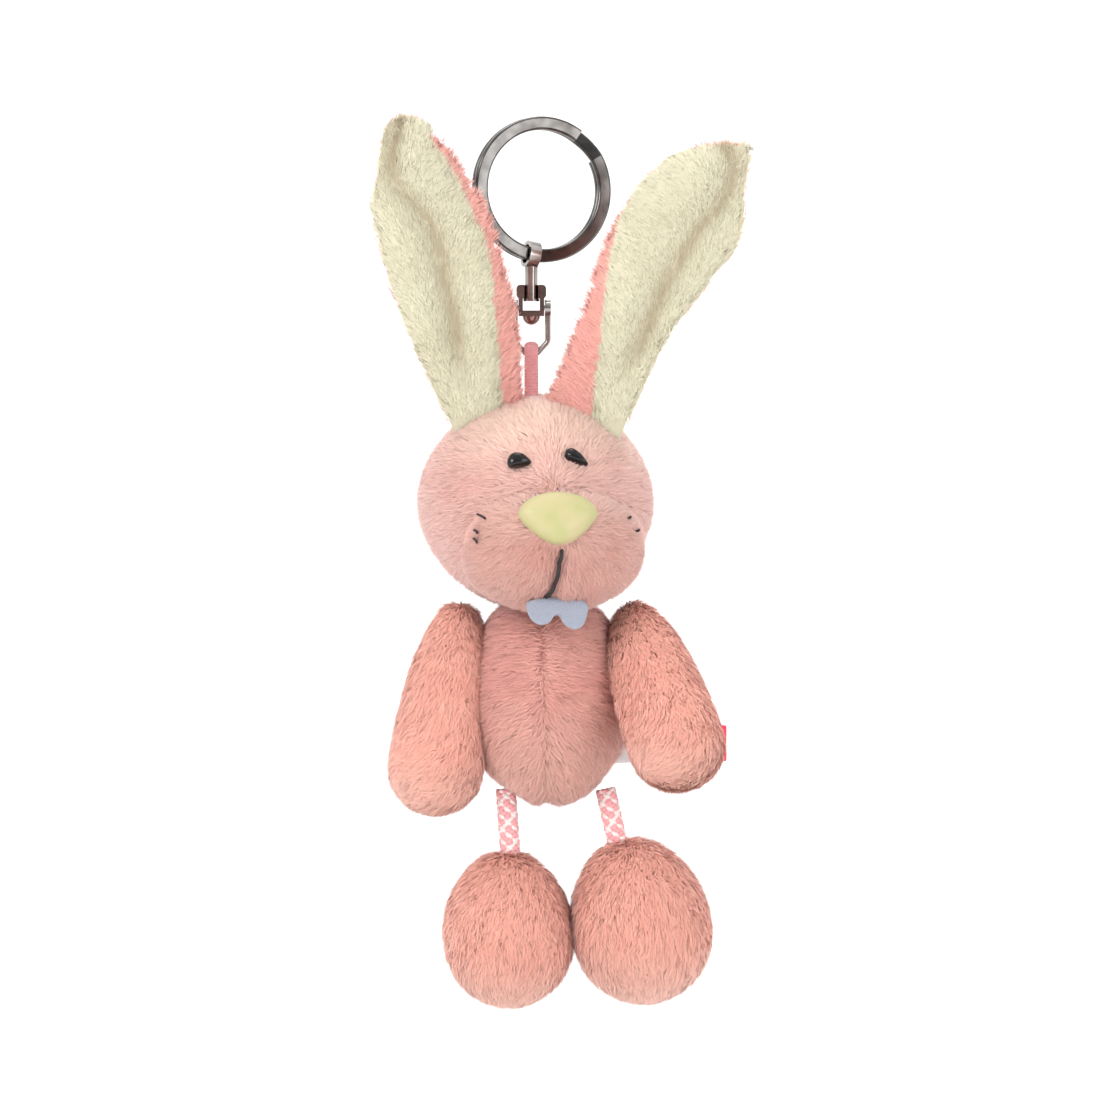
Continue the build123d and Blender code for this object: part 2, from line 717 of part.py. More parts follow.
# --- Legs and feet ---
left_ankle = Vector(hips["left"] + left_ankle_out, leg_y, hip_z - left_leg_drop)
right_ankle = Vector(hips["right"] + right_ankle_out, leg_y, hip_z - right_leg_drop)
left_foot = left_ankle + Vector(left_foot_out, 0, left_foot_sink - left_foot_length / 2)
right_foot = right_ankle + Vector(right_foot_out, 0, right_foot_sink - right_foot_length / 2)
feet = {
    "left": (left_ankle, left_foot, left_foot_width, left_foot_length, left_foot_roll),
    "right": (right_ankle, right_foot, right_foot_width, right_foot_length, right_foot_roll),
}
meeting = Vector(cos(radians(feet_meeting_slope)), 0, sin(radians(feet_meeting_slope)))
meeting_x = (left_foot.X + left_foot_width / 2 + right_foot.X - right_foot_width / 2) / 2
meeting_point = Vector(meeting_x, leg_y, (left_foot.Z + right_foot.Z) / 2)
for side, (ankle, centre, width, length, roll) in feet.items():
    hip_point = Vector(hips[side], leg_y, hip_z)
    with BuildPart() as leg_cord:
        with BuildLine() as leg_line:
            Line(hip_point, ankle)
        with BuildSketch(Plane(hip_point, z_dir=ankle - hip_point)):
            Circle(leg_cord_radius)
        sweep()
        with Locations(hip_point, ankle):
            Sphere(leg_cord_radius)
    export_piece(leg_cord, f"{side}_leg_cord")
    leg_cord_length = (ankle - hip_point).length + 2 * leg_cord_radius
    print(side, "leg cord length", round(leg_cord_length, 2))
    toe_radius = width / 2 - 0.4
    heel_radius = toe_radius * foot_heel_share
    foot_spread = length - toe_radius - heel_radius
    foot_shape = (toe_radius, heel_radius, foot_spread, width * 0.62)
    shift = (toe_radius - heel_radius) / 2
    foot_place = Location(centre, (0, -roll, 0)) * Location((0, 0, shift))
    inward = 1 if side == "left" else -1
    meeting_plane = Plane(meeting_point, z_dir=meeting * inward).offset(-skin_gap / 2)
    for name, start in (("upper", 180), ("sole", 0)):
        with BuildPart() as foot_panel:
            add(egg(foot_shape, foot_place, wall=fabric, start=start, sweep=180))
            with Locations(ankle):
                Sphere(ankle_dimple, mode=Mode.SUBTRACT)
            split(bisect_by=meeting_plane, keep=Keep.BOTTOM)
        export_piece(foot_panel, f"{side}_foot_{name}")
    with BuildPart() as foot_stuffing:
        add(egg(foot_shape, foot_place, inset=fabric + fill_clearance))
        with Locations(ankle):
            Sphere(ankle_dimple, mode=Mode.SUBTRACT)
        split(bisect_by=meeting_plane, keep=Keep.BOTTOM)
    export_piece(foot_stuffing, f"{side}_foot_stuffing")
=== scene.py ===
# %% [markdown]
# # A plush rabbit key ring
# The rabbit is sewn from short-pile plush, stuffed, and hung by a flat ribbed cord from a swivel and a
# split ring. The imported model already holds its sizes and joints. This lesson gives every part its look:
# stuffed skins worked out as grids, a pile of real hairs on them, sewn details, cords and metal.

import bpy
import numpy as np
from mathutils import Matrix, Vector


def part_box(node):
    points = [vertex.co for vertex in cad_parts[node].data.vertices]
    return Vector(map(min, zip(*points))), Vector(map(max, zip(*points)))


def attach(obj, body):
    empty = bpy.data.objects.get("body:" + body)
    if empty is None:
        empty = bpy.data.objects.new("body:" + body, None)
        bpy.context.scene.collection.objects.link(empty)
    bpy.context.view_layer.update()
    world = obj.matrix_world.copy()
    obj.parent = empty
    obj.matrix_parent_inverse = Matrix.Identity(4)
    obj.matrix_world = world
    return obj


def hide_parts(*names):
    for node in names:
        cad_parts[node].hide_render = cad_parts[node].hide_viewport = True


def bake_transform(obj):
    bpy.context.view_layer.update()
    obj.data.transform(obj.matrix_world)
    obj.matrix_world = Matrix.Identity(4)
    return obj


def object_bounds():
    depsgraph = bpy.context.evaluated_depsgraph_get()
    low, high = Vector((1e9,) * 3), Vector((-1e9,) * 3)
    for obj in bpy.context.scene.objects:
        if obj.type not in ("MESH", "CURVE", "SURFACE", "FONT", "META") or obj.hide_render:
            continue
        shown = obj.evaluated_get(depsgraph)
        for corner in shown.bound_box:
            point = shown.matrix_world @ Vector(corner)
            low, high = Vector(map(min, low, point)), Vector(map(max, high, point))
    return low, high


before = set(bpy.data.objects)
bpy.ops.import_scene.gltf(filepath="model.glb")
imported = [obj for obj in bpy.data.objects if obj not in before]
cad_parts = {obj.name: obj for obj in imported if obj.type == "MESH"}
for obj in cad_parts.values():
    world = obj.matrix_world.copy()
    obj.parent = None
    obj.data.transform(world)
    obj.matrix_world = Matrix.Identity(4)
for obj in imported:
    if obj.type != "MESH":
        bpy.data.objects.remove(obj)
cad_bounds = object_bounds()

MM = 0.001
low, high = (np.array(corner) / MM for corner in cad_bounds)
middle = (low + high) / 2
print("frame loaded, middle at", middle.round(1), "size", (high - low).round(1))

# %% [markdown]
# ## Camera, lights and backdrop
# A long lens a metre away shows the toy almost without perspective, as a catalogue picture does. The
# room is a plain pale sweep: a floor that curves up behind, so no horizon shows.

# %% Camera
FIELD = 191.8
DISTANCE = 950.0
SENSOR = 36.0
camera = bpy.data.objects.new("camera", bpy.data.cameras.new("camera"))
camera.data.sensor_width = SENSOR
camera.data.lens = SENSOR * DISTANCE / FIELD
camera.data.clip_end = 20.0
camera.location = np.array([4.91, -DISTANCE, -73.5]) * MM
camera.rotation_euler = (np.pi / 2, 0, 0)
bpy.context.scene.collection.objects.link(camera)
bpy.context.scene.camera = camera
bpy.context.scene.view_settings.view_transform = "Standard"
print("camera", tuple(round(c, 3) for c in camera.location), "lens", round(camera.data.lens, 1))

# %% [markdown]
# ## Shader sums as plain Python
# Node trees are easier to read as sums. `Number` wraps one output socket and adds a Math node for each
# operator. `Finish` makes one material; its `add` takes a node's type, its settings and its inputs.

# %% Shader helpers


class Number:
    """A socket that can be added, multiplied and compared; each sum adds one Math node."""

    def __init__(self, finish, socket):
        self.finish = finish
        self.socket = socket

    def math(self, operation, *others, clamp=False):
        settings = {"operation": operation, "use_clamp": clamp}
        return self.finish.add("ShaderNodeMath", settings, dict(enumerate(others)))

    def __add__(self, other):
        return self.math("ADD", self, other)

    __radd__ = __add__

    def __mul__(self, other):
        return self.math("MULTIPLY", self, other)

    __rmul__ = __mul__

    def __sub__(self, other):
        return self.math("SUBTRACT", self, other)

    def __rsub__(self, other):
        return self.math("SUBTRACT", other, self)

    def __truediv__(self, other):
        return self.math("DIVIDE", self, other)

    def __pow__(self, other):
        return self.math("POWER", self, other)

    def above(self, low_end, high_end):
        """0 below low_end, 1 above high_end, eased between them."""
        settings = {"interpolation_type": "SMOOTHSTEP"}
        inputs = {0: self, 1: low_end, 2: high_end}
        return self.finish.add("ShaderNodeMapRange", settings, inputs)


class Finish:
    """One node tree: a material's by default, or the world's."""

    def __init__(self, name, tree=None):
        if tree is None:
            self.material = bpy.data.materials.new(name)
            self.material.use_nodes = True
            tree = self.material.node_tree
            self.surface = tree.nodes["Principled BSDF"]
        self.tree = tree

    def add(self, kind, settings=None, inputs=None, output=0):
        """A node of a type, its settings first, then the values or links of its sockets."""
        node = self.tree.nodes.new(kind)
        for key, value in (settings or {}).items():
            setattr(node, key, value)
        for key, value in (inputs or {}).items():
            self.join(value, node.inputs[key])
        return Number(self, node.outputs[output])

    def join(self, value, socket):
        if isinstance(value, Number):
            self.tree.links.new(value.socket, socket)
        elif socket.type == "RGBA":
            socket.default_value = (*value, 1)
        else:
            socket.default_value = value

    def set(self, **sockets):
        """Values or links for the surface shader, underscores standing for spaces."""
        for key, value in sockets.items():
            self.join(value, self.surface.inputs[key.replace("_", " ")])
        return self

    def mix(self, share, first, second):
        """Colour between two colours."""
        settings = {"data_type": "RGBA", "blend_type": "MIX"}
        return self.add("ShaderNodeMix", settings, {0: share, 6: first, 7: second}, output=2)

    def attribute(self, name):
        return self.add("ShaderNodeAttribute", {"attribute_name": name}, output="Fac")

    def place(self):
        """The point's own place on the piece, in metres."""
        return self.add("ShaderNodeTexCoord", output="Object")

    def noise(self, per_metre, detail=2.0, where=None):
        inputs = {"Vector": where or self.place(), "Scale": per_metre, "Detail": detail}
        return self.add("ShaderNodeTexNoise", inputs=inputs, output="Fac")

    def bump(self, height, depth, strength=1.0):
        inputs = {"Height": height, "Distance": depth, "Strength": strength}
        return self.add("ShaderNodeBump", inputs=inputs, output="Normal")


print("shader helpers ready")

# %% [markdown]
# ## Light
# The world is bright above and around, and darker behind the viewer, so the metal has something dark
# to mirror. One large soft lamp from the upper left models the form, and a weaker one fills the right.

# %% World and lamps
world = bpy.data.worlds.new("studio")
world.use_nodes = True
bpy.context.scene.world = world
sky = Finish("studio", world.node_tree)
way = sky.add("ShaderNodeTexCoord", output="Generated")
parts = sky.add("ShaderNodeSeparateXYZ", inputs={0: way})
toward_back = Number(sky, parts.socket.node.outputs["Y"])
toward_up = Number(sky, parts.socket.node.outputs["Z"])
glow = toward_back.above(-0.95, -0.3) * 0.62 + 0.42 + toward_up.above(0.1, 0.9) * 0.2
sky.join(glow, world.node_tree.nodes["Background"].inputs["Strength"])
world.node_tree.nodes["Background"].inputs["Color"].default_value = (1.0, 0.99, 0.98, 1)


def lamp(name, place, target, side, power):
    """A square soft lamp of a side in millimetres, pointing at a place."""
    light = bpy.data.lights.new(name, "AREA")
    light.size = side * MM
    light.energy = power
    holder = bpy.data.objects.new(name, light)
    aim = np.array(target, float) - np.array(place, float)
    flat = np.hypot(aim[0], aim[1])
    holder.rotation_euler = (np.arctan2(flat, -aim[2]), 0, np.arctan2(aim[1], aim[0]) - np.pi / 2)
    holder.location = np.array(place, float) * MM
    bpy.context.scene.collection.objects.link(holder)


lamp("key_lamp", (-330, -480, 190), middle, 320, 2.7)
lamp("fill_lamp", (420, -420, 20), middle, 300, 1.3)
lamp("top_lamp", (0, 60, 420), middle, 300, 1.0)
print("world and lamps ready")

# %% Mesh helper


def build(name, places, faces, material, smooth=True, values=None):
    """A mesh object from places in millimetres and arrays of corner numbers, one array per face size."""
    mesh = bpy.data.meshes.new(name)
    corners = np.concatenate([f.ravel() for f in faces]).astype(np.int32)
    sizes = np.concatenate([np.full(len(f), f.shape[1]) for f in faces])
    starts = np.concatenate([[0], np.cumsum(sizes)[:-1]]).astype(np.int32)
    mesh.vertices.add(len(places))
    mesh.vertices.foreach_set("co", (places * MM).astype(np.float32).ravel())
    mesh.loops.add(len(corners))
    mesh.loops.foreach_set("vertex_index", corners)
    mesh.polygons.add(len(sizes))
    mesh.polygons.foreach_set("loop_start", starts)
    mesh.update(calc_edges=True)
    for key, numbers in (values or {}).items():
        layer = mesh.attributes.new(key, "FLOAT", "POINT")
        layer.data.foreach_set("value", numbers.astype(np.float32))
    if smooth:
        mesh.shade_smooth()
    mesh.materials.append(material)
    piece = bpy.data.objects.new(name, mesh)
    bpy.context.scene.collection.objects.link(piece)
    return piece


print("mesh helper ready")

# %% Floor sweep
sweep_turn = np.linspace(0, np.pi / 2, 16)
floor_z = low[2] - 45
back_y, curve = 420.0, 160.0
profile_y = np.concatenate([[-900], back_y - curve + curve * np.sin(sweep_turn), [back_y]])
profile_z = np.concatenate([[0], curve - curve * np.cos(sweep_turn), [1400]]) + floor_z
across = np.array([-1500.0, 1500.0])
sweep_places = np.stack(np.broadcast_arrays(across[:, None], profile_y, profile_z), -1).reshape(-1, 3)
count = len(profile_y)
step = np.arange(count - 1)
sweep_faces = np.stack([step, step + count, step + count + 1, step + 1], 1)
paper = Finish("backdrop_paper").set(Base_Color=(0.93, 0.93, 0.93), Roughness=0.9)
backdrop = build("backdrop", sweep_places, [sweep_faces], paper.material)
print("backdrop", len(sweep_faces), "faces")

# %% [markdown]
# ## Stuffed forms
# Every stuffed part is first an egg: two round ends and one side arc that touches both. Turning that
# outline round its axis gives a grid of places, and pushing the grid in and out along its normals gives
# the dimples and puffs that stitching makes. A grid keeps its normals and areas easy to work out, which
# the pile needs later.

# %% Egg outline


def unit(v):
    """Vectors scaled to length 1."""
    return v / np.maximum(np.linalg.norm(v, axis=-1, keepdims=True), 1e-9)


def side_bulge(width, length, end_radius):
    """Side arc radius of an egg with equal ends."""
    half_spread, spare = length / 2 - end_radius, width / 2 - end_radius
    return width / 2 + (half_spread**2 - spare**2) / (2 * spare)


def egg_outline(low_r, high_r, spread, bulge, rows):
    """(radius, along) from pole to pole, evenly spaced. The ends are arcs round points half the spread
    each side of the middle; the side is an arc of the bulge radius that touches both. Along all three
    arcs the normal turns from -90 to 90 degrees, so each point is a centre plus a radius times it."""
    from_low, from_high = bulge - low_r, bulge - high_r
    rise = (from_low**2 - from_high**2) / (2 * spread)
    back = np.sqrt(from_low**2 - (rise + spread / 2) ** 2)
    turn = np.linspace(-np.pi / 2, np.pi / 2, 1201)
    below = turn < np.arctan2(-spread / 2 - rise, back)
    above = turn > np.arctan2(spread / 2 - rise, back)
    centre_r = np.where(below | above, 0, -back)
    centre_a = np.where(below, -spread / 2, np.where(above, spread / 2, rise))
    size = np.where(below, low_r, np.where(above, high_r, bulge))
    outline = np.stack([centre_r + size * np.cos(turn), centre_a + size * np.sin(turn)], 1)
    length = np.concatenate([[0], np.cumsum(np.linalg.norm(np.diff(outline, axis=0), axis=1))])
    at = np.linspace(0, length[-1], rows)
    return np.stack([np.interp(at, length, outline[:, k]) for k in range(2)], 1)


print("egg outline of the head:", egg_outline(14.5, 14.5, 11.8, 20.85, 5).round(1).tolist())

# %% Form: a closed grid


class Form:
    """A closed skin: rows of places from the low pole to the high pole, each row once round.
    A normal is the cross product of the steps round and up the grid."""

    def __init__(self, places):
        self.places = places
        self.measure()

    def measure(self):
        p = self.places
        round_step = np.roll(p, -1, 1) - np.roll(p, 1, 1)
        up_step = np.gradient(p, axis=0)
        normals = np.cross(round_step, up_step)
        normals[0] = normals[1].mean(0)
        normals[-1] = normals[-2].mean(0)
        self.normals = unit(normals)

    def push(self, amount):
        """Moves each point along its normal by amount(places), in millimetres."""
        self.places = self.places + self.normals * amount(self.places)[..., None]
        self.measure()
        return self

    def sample(self, number, rng, keep=None):
        """Places and normals of points spread evenly over the skin, or over the part that keep favours."""
        p, n = self.places, self.normals
        q, m = np.roll(p, -1, 1), np.roll(n, -1, 1)
        area = np.linalg.norm(np.cross(q[1:] - p[:-1], p[1:] - q[:-1]), axis=-1)
        if keep is not None:
            area = area * keep((p[:-1] + q[1:]) / 2, (n[:-1] + m[1:]) / 2)
        total = np.cumsum(area.ravel())
        cell = np.searchsorted(total, rng.random(number) * total[-1])
        i, j = np.divmod(cell, area.shape[1])
        a, b = rng.random((2, number, 1))

        def between(first, second):
            lower = first[i, j] * (1 - a) + second[i, j] * a
            return lower * (1 - b) + (first[i + 1, j] * (1 - a) + second[i + 1, j] * a) * b

        return between(p, q), unit(between(n, m))

    def mesh_arrays(self):
        """Corner places and faces, with one vertex at each pole."""
        rows, around = self.places.shape[:2]
        inner = self.places[1:-1].reshape(-1, 3)
        places = np.concatenate([self.places[:1, 0], inner, self.places[-1:, 0]])
        j = np.arange(around)
        k = (j + 1) % around
        i = np.arange(rows - 3)[:, None] * around + 1
        quads = np.stack(np.broadcast_arrays(i + j, i + k, i + around + k, i + around + j), -1)
        last = len(places) - 1
        top = last - around
        low_fan = np.stack([j * 0, k + 1, j + 1], 1)
        high_fan = np.stack([top + j, top + k, j * 0 + last], 1)
        return places, [quads.reshape(-1, 4), np.concatenate([low_fan, high_fan])]


def egg_form(origin, basis, shape, inset=0.0, rows=90, around=120):
    """An egg turned about basis[2] at an origin, its skin set in by some millimetres."""
    low_r, high_r, spread, bulge = shape
    outline = egg_outline(low_r - inset, high_r - inset, spread, bulge - inset, rows)
    u = np.linspace(0, 2 * np.pi, around, endpoint=False)[None, :, None]
    radius, along = outline[:, 0, None, None], outline[:, 1, None, None]
    e1, e2, e3 = (np.array(e, float) for e in basis)
    return Form(np.array(origin) + radius * (np.cos(u) * e1 + np.sin(u) * e2) + along * e3)


def spot(places, centre, reach):
    """A soft round spot: 1 at the centre, falling off as a bell curve of that reach."""
    return np.exp(-(((places - np.array(centre)) ** 2).sum(-1)) / reach**2)


print("forms ready")

# %% [markdown]
# ## The pile
# Plush is a woven ground with thousands of short hairs that all lean one way, in little locks that share
# a tip. A hair here is a thin strip along a bent line: one quad, and a triangle for its tip. Its lean
# follows a flow over the skin, and each lock's hairs draw together toward their tips. The hairs take the
# skin's normals, so the coat is shaded softly as one surface and not as glittering strips.

# %% Hair maker


def tangent(vectors, normals):
    """Vectors laid flat on the skin and made length 1."""
    return unit(vectors - (vectors * normals).sum(-1, keepdims=True) * normals)


def fur(name, form, flow, number, length, finish, width=0.14, lift=0.5, lock=8, reach=0.5,
        gather=0.35, stray=0.22, seed=1, keep=None, zone=None, sink=0.25):
    """Hairs on a form. A hair runs from its root along a bent line: root + length * s * (lift part of
    the normal + lean part of the flow), bending over as s goes from 0 to 1. Roots of a lock spread by
    `reach` about its middle, and tips draw together by `gather`."""
    rng = np.random.default_rng(seed)
    locks = number // lock
    centre, normal = form.sample(locks, rng, keep)
    lean = tangent(flow(centre, normal), normal)
    side = np.cross(normal, lean)
    turn = rng.normal(0, stray, (locks, 1))
    lean = lean * np.cos(turn) + side * np.sin(turn)
    side = np.cross(normal, lean)
    shade = np.zeros(locks) if zone is None else zone(centre, normal)
    lock_length = length(centre) if callable(length) else np.full(locks, length)
    centre, normal, lean, side, shade, lock_length = (
        np.repeat(x, lock, axis=0) for x in (centre, normal, lean, side, shade, lock_length)
    )
    hairs = len(centre)
    spread = rng.normal(0, reach, (2, hairs, 1))
    tall = (lock_length * rng.uniform(0.72, 1.15, hairs))[:, None]
    up = lift * rng.uniform(0.75, 1.25, (hairs, 1))
    root = centre + lean * spread[0] + side * spread[1] - normal * sink
    pulled = -(lean * spread[0] + side * spread[1]) * gather
    knee = root + pulled * 0.35 + tall * (normal * up * 0.75 + lean * (1 - up) * 0.5)
    tip = root + pulled + tall * (normal * up + lean * np.sqrt(np.maximum(1 - up**2, 0.05)))
    roll = rng.normal(0, 0.5, (hairs, 1))
    wide = (side * np.cos(roll) + normal * np.sin(roll)) * (width / 2)
    corner = np.stack([root - wide, root + wide, knee - wide * 0.85, knee + wide * 0.85, tip], 1)
    base = np.arange(hairs)[:, None] * 5
    quads = base + np.array([0, 2, 3, 1])
    points = base + np.array([2, 4, 3])
    hair_tone = np.repeat(rng.random(hairs), 5)
    values = {
        "along": np.tile([0.0, 0.0, 0.5, 0.5, 1.0], hairs),
        "tone": hair_tone,
        "zone": np.repeat(shade, 5),
    }
    piece = build(name, corner.reshape(-1, 3), [quads, points], finish.material, values=values)
    lay_out(piece, hairs)
    soft = unit(normal + lean * 0.25 + rng.normal(0, 0.16, (hairs, 3)))
    piece.data.normals_split_custom_set_from_vertices(np.repeat(soft, 5, axis=0).tolist())
    return piece


def lay_out(piece, hairs):
    """A flat map with one small square for each hair, so that its colours can be baked."""
    across = int(np.ceil(np.sqrt(hairs)))
    row, column = np.divmod(np.arange(hairs), across)
    corner = np.array([[0.1, 0.1], [0.9, 0.1], [0.15, 0.5], [0.85, 0.5], [0.5, 0.9]])
    flat = (np.stack([column, row], 1)[:, None] + corner) / across
    vertex = np.empty(len(piece.data.loops), np.int32)
    piece.data.loops.foreach_get("vertex_index", vertex)
    layer = piece.data.uv_layers.new(name="OFBake")
    layer.uv.foreach_set("vector", flat.reshape(-1, 2)[vertex].astype(np.float32).ravel())


print("hair maker ready")

# %% Plush finishes


def pile(name, root, tip, patch, far, patch_scale=90, sheen=0.35):
    """Hair colour: dark at the root as painted shade between the hairs, light at the tip, each hair a little
    off, with soft patches of a second tint, and a third colour where the skin's `zone` value is high: painted
    highlight on the forehead and the muzzle top, painted shade along the ear creases, and a plain change
    of colour toward the bottom of the torso, paws and feet."""
    finish = Finish(name)
    along = finish.attribute("along")
    tone = finish.attribute("tone")
    zone = finish.attribute("zone")
    patches = finish.noise(patch_scale, 3.0).above(0.42, 0.66)
    top = finish.mix(patches * 0.6, tip, patch)
    top = finish.mix(zone, top, far)
    hair = finish.mix(along.above(-0.5, 0.55), root, top)
    dim = finish.mix(tone, (0.86, 0.84, 0.84), (1.0, 1.0, 1.0))
    settings = {"data_type": "RGBA", "blend_type": "MULTIPLY"}
    colour = finish.add("ShaderNodeMix", settings, {0: 1.0, 6: hair, 7: dim}, output=2)
    finish.set(Base_Color=colour, Roughness=0.85, Sheen_Weight=sheen, Sheen_Roughness=0.5)
    finish.set(Specular_IOR_Level=0.25)
    return finish


def ground(name, colour):
    """The woven ground under the pile, finely uneven. It is darker than the hairs as painted shade, so the gaps
    between the locks look shadowed.
    """
    finish = Finish(name)
    weave = finish.noise(2600, 2.0)
    shade = tuple(c * 0.78 for c in colour)
    finish.set(Base_Color=finish.mix(weave, shade, colour), Roughness=0.95)
    finish.set(Normal=finish.bump(weave, 0.0002, 0.5))
    return finish


# Pile colours are root, tip, patch and zone colour. The darker roots are painted shade between the hairs. The
# zone colours of the head and the muzzle are painted highlight, the cream one is painted shade in the ear
# creases, and the others only tint the lower torso, paws and feet.
head_pile = pile("head_pile", (0.66, 0.36, 0.31), (0.84, 0.52, 0.46), (0.80, 0.43, 0.38), (1.0, 0.78, 0.64))
MUZZLE_PATCHES = 130
muzzle_pile = pile("muzzle_pile", (0.58, 0.28, 0.23), (0.74, 0.42, 0.36), (0.68, 0.34, 0.28),
                   (0.86, 0.58, 0.50), MUZZLE_PATCHES)
body_pile = pile("body_pile", (0.66, 0.29, 0.25), (0.82, 0.42, 0.36), (0.76, 0.34, 0.30), (0.82, 0.48, 0.40))
limb_pile = pile("limb_pile", (0.78, 0.36, 0.28), (0.98, 0.50, 0.40), (0.92, 0.43, 0.34), (0.92, 0.54, 0.44))
ear_pile = pile("ear_pile", (0.74, 0.33, 0.28), (0.90, 0.46, 0.40), (0.86, 0.40, 0.35), (0.93, 0.58, 0.50))
cream_pile = pile("cream_pile", (0.58, 0.54, 0.38), (0.76, 0.73, 0.55), (0.70, 0.66, 0.48), (0.52, 0.44, 0.30))
# The ground colours are darker than their piles: painted shade in the gaps of the pile.
head_ground = ground("head_ground", (0.76, 0.44, 0.37))
body_ground = ground("body_ground", (0.70, 0.33, 0.28))
limb_ground = ground("limb_ground", (0.80, 0.38, 0.30))
ear_ground = ground("ear_ground", (0.76, 0.37, 0.31))
cream_ground = ground("cream_ground", (0.56, 0.52, 0.38))
print("plush finishes ready")


# %% Padded piece helper


def padded(name, form, finish, body, nodes):
    """The stuffed skin itself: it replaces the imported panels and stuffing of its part."""
    piece = build(name, *form.mesh_arrays(), finish.material)
    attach(piece, body)
    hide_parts(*nodes)
    print(name, len(piece.data.polygons), "faces")
    return piece


def coat(name, form, flow, body, slot, number, length, finish, **shape):
    """A pile on a form, riding on a body."""
    piece = fur(name, form, flow, number, length, finish, **shape)
    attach(piece, body)
    print(name, number, "hairs")
    return piece


# %% [markdown]
# ## Head
# The head is a wide egg lying on its side, turned a little to the right, with a rounder muzzle egg in
# front. Stitching the eyes pulls dimples, and the mouth stitch pulls a cleft in the muzzle.

# %% Head frame
FUR_ROOM = 0.9
head_low, head_high = (
    np.array([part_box(n)[k] for n in ("head_left_face_panel", "head_right_face_panel", "head_back_panel")])
    for k in (0, 1)
)
head_middle = (head_low.min(0) + head_high.max(0)) / 2 / MM
HEAD_TURN = np.radians(12)
head_x = np.array([np.cos(HEAD_TURN), np.sin(HEAD_TURN), 0])
head_y = np.array([-np.sin(HEAD_TURN), np.cos(HEAD_TURN), 0])
head_z = np.array([0, 0, 1.0])
HEAD_SHAPE = (14.5, 14.5, 40.8 - 29.0, side_bulge(37.0, 40.8, 14.5))
MUZZLE_SHAPE = (9.5, 9.5, 31.6 - 19.0, side_bulge(22.6, 31.6, 9.5))
MUZZLE_AT = (0.3, -12.0, -7.6)


def on_head(x, y, z):
    """A place given in the head's own frame, from its middle."""
    return head_middle + x * head_x + y * head_y + z * head_z


def head_own(places):
    """Places as seen from the head's own frame."""
    return (places - head_middle) @ np.stack([head_x, head_y, head_z], 1)


muzzle_middle = on_head(*MUZZLE_AT)
print("head middle", head_middle.round(1), "muzzle middle", muzzle_middle.round(1))

# %% Head and muzzle skins
eye_spots = {"left": on_head(-6.05, -16.9, 7.7), "right": on_head(3.55, -17.3, 7.8)}


def head_push(places):
    own = head_own(places)
    dimples = sum(spot(places, at, 3.0) for at in eye_spots.values())
    seam = np.exp(-((own[..., 0] + 7.0 - 0.15 * own[..., 2]) ** 2) / 0.5**2) * (own[..., 1] < 0)
    return -0.7 * dimples - 0.35 * seam * (own[..., 2] > 8)


def muzzle_push(places):
    own = head_own(places)
    cleft_x = -0.9 + 0.16 * (own[..., 2] + 12.3)
    below_nose = 1 / (1 + np.exp((own[..., 2] + 7.5) / 0.8))
    cleft = np.exp(-((own[..., 0] - cleft_x) ** 2) / 1.6**2) * below_nose * (own[..., 1] < -12)
    cheeks = spot(places, on_head(-8, -20, -11), 6) + spot(places, on_head(7, -20, -11), 6)
    return 0.45 * cheeks - 1.1 * cleft


head_form = egg_form(head_middle, (head_y, head_z, head_x), HEAD_SHAPE, FUR_ROOM).push(head_push)
muzzle_form = egg_form(muzzle_middle, (head_y, head_z, head_x), MUZZLE_SHAPE, FUR_ROOM).push(muzzle_push)
padded("head_skin", head_form, head_ground, "head",
       ["head_left_face_panel", "head_right_face_panel", "head_back_panel", "head_stuffing"])
padded("muzzle_skin", muzzle_form, head_ground, "head", ["muzzle_panel"])

# %% Head and muzzle pile


def from_face(places, normals):
    """Hairs lean away from the point between the eyes, round to the back of the head."""
    return places - on_head(0, -26, 4)


def from_nose(places, normals):
    """Hairs lean away from the nose, and down at the chin."""
    return places - on_head(-0.8, -26, -3)


def off_muzzle_and_eyes(places, normals):
    """No hairs under the muzzle, and none on the eyes."""
    own = head_own(places)
    muzzle = ((own - np.array(MUZZLE_AT)) / np.array([13.4, 9.2, 9.2])) ** 2
    clear = (muzzle.sum(-1) > 1).astype(float)
    for at in eye_spots.values():
        clear = clear * (((places - at) ** 2).sum(-1) > 1.9**2)
    return clear


def off_head(places, normals):
    """Only the part of the muzzle that stands out of the head, clear of the nose."""
    own = head_own(places)
    out = (own[..., 1] ** 2 + own[..., 2] ** 2) > 16.7**2
    nose = ((own[..., 0] + 0.8) / 5.2) ** 2 + ((own[..., 2] + 2.6) / 3.4) ** 2 < 1
    return (out & ~(nose & (own[..., 1] < -15))).astype(float)


def forehead_painted_highlight(places, normals):
    """Painted highlight: the pile on the forehead is paler, where the light falls on it."""
    own = head_own(places)
    return np.clip((own[..., 2] - 3) / 12, 0, 1) * np.clip((-own[..., 1] - 2) / 8, 0, 1) * 0.8


def muzzle_top_painted_highlight(places, normals):
    """Painted highlight: the top of the muzzle is paler, where it catches the light; the cheeks and the chin
    keep the pinker colour.
    """
    own = head_own(places)
    return np.clip((own[..., 2] + 7) / 8, 0, 1) * 0.9


def is_front(places, normals):
    return (head_own(places)[..., 1] < 0).astype(float)


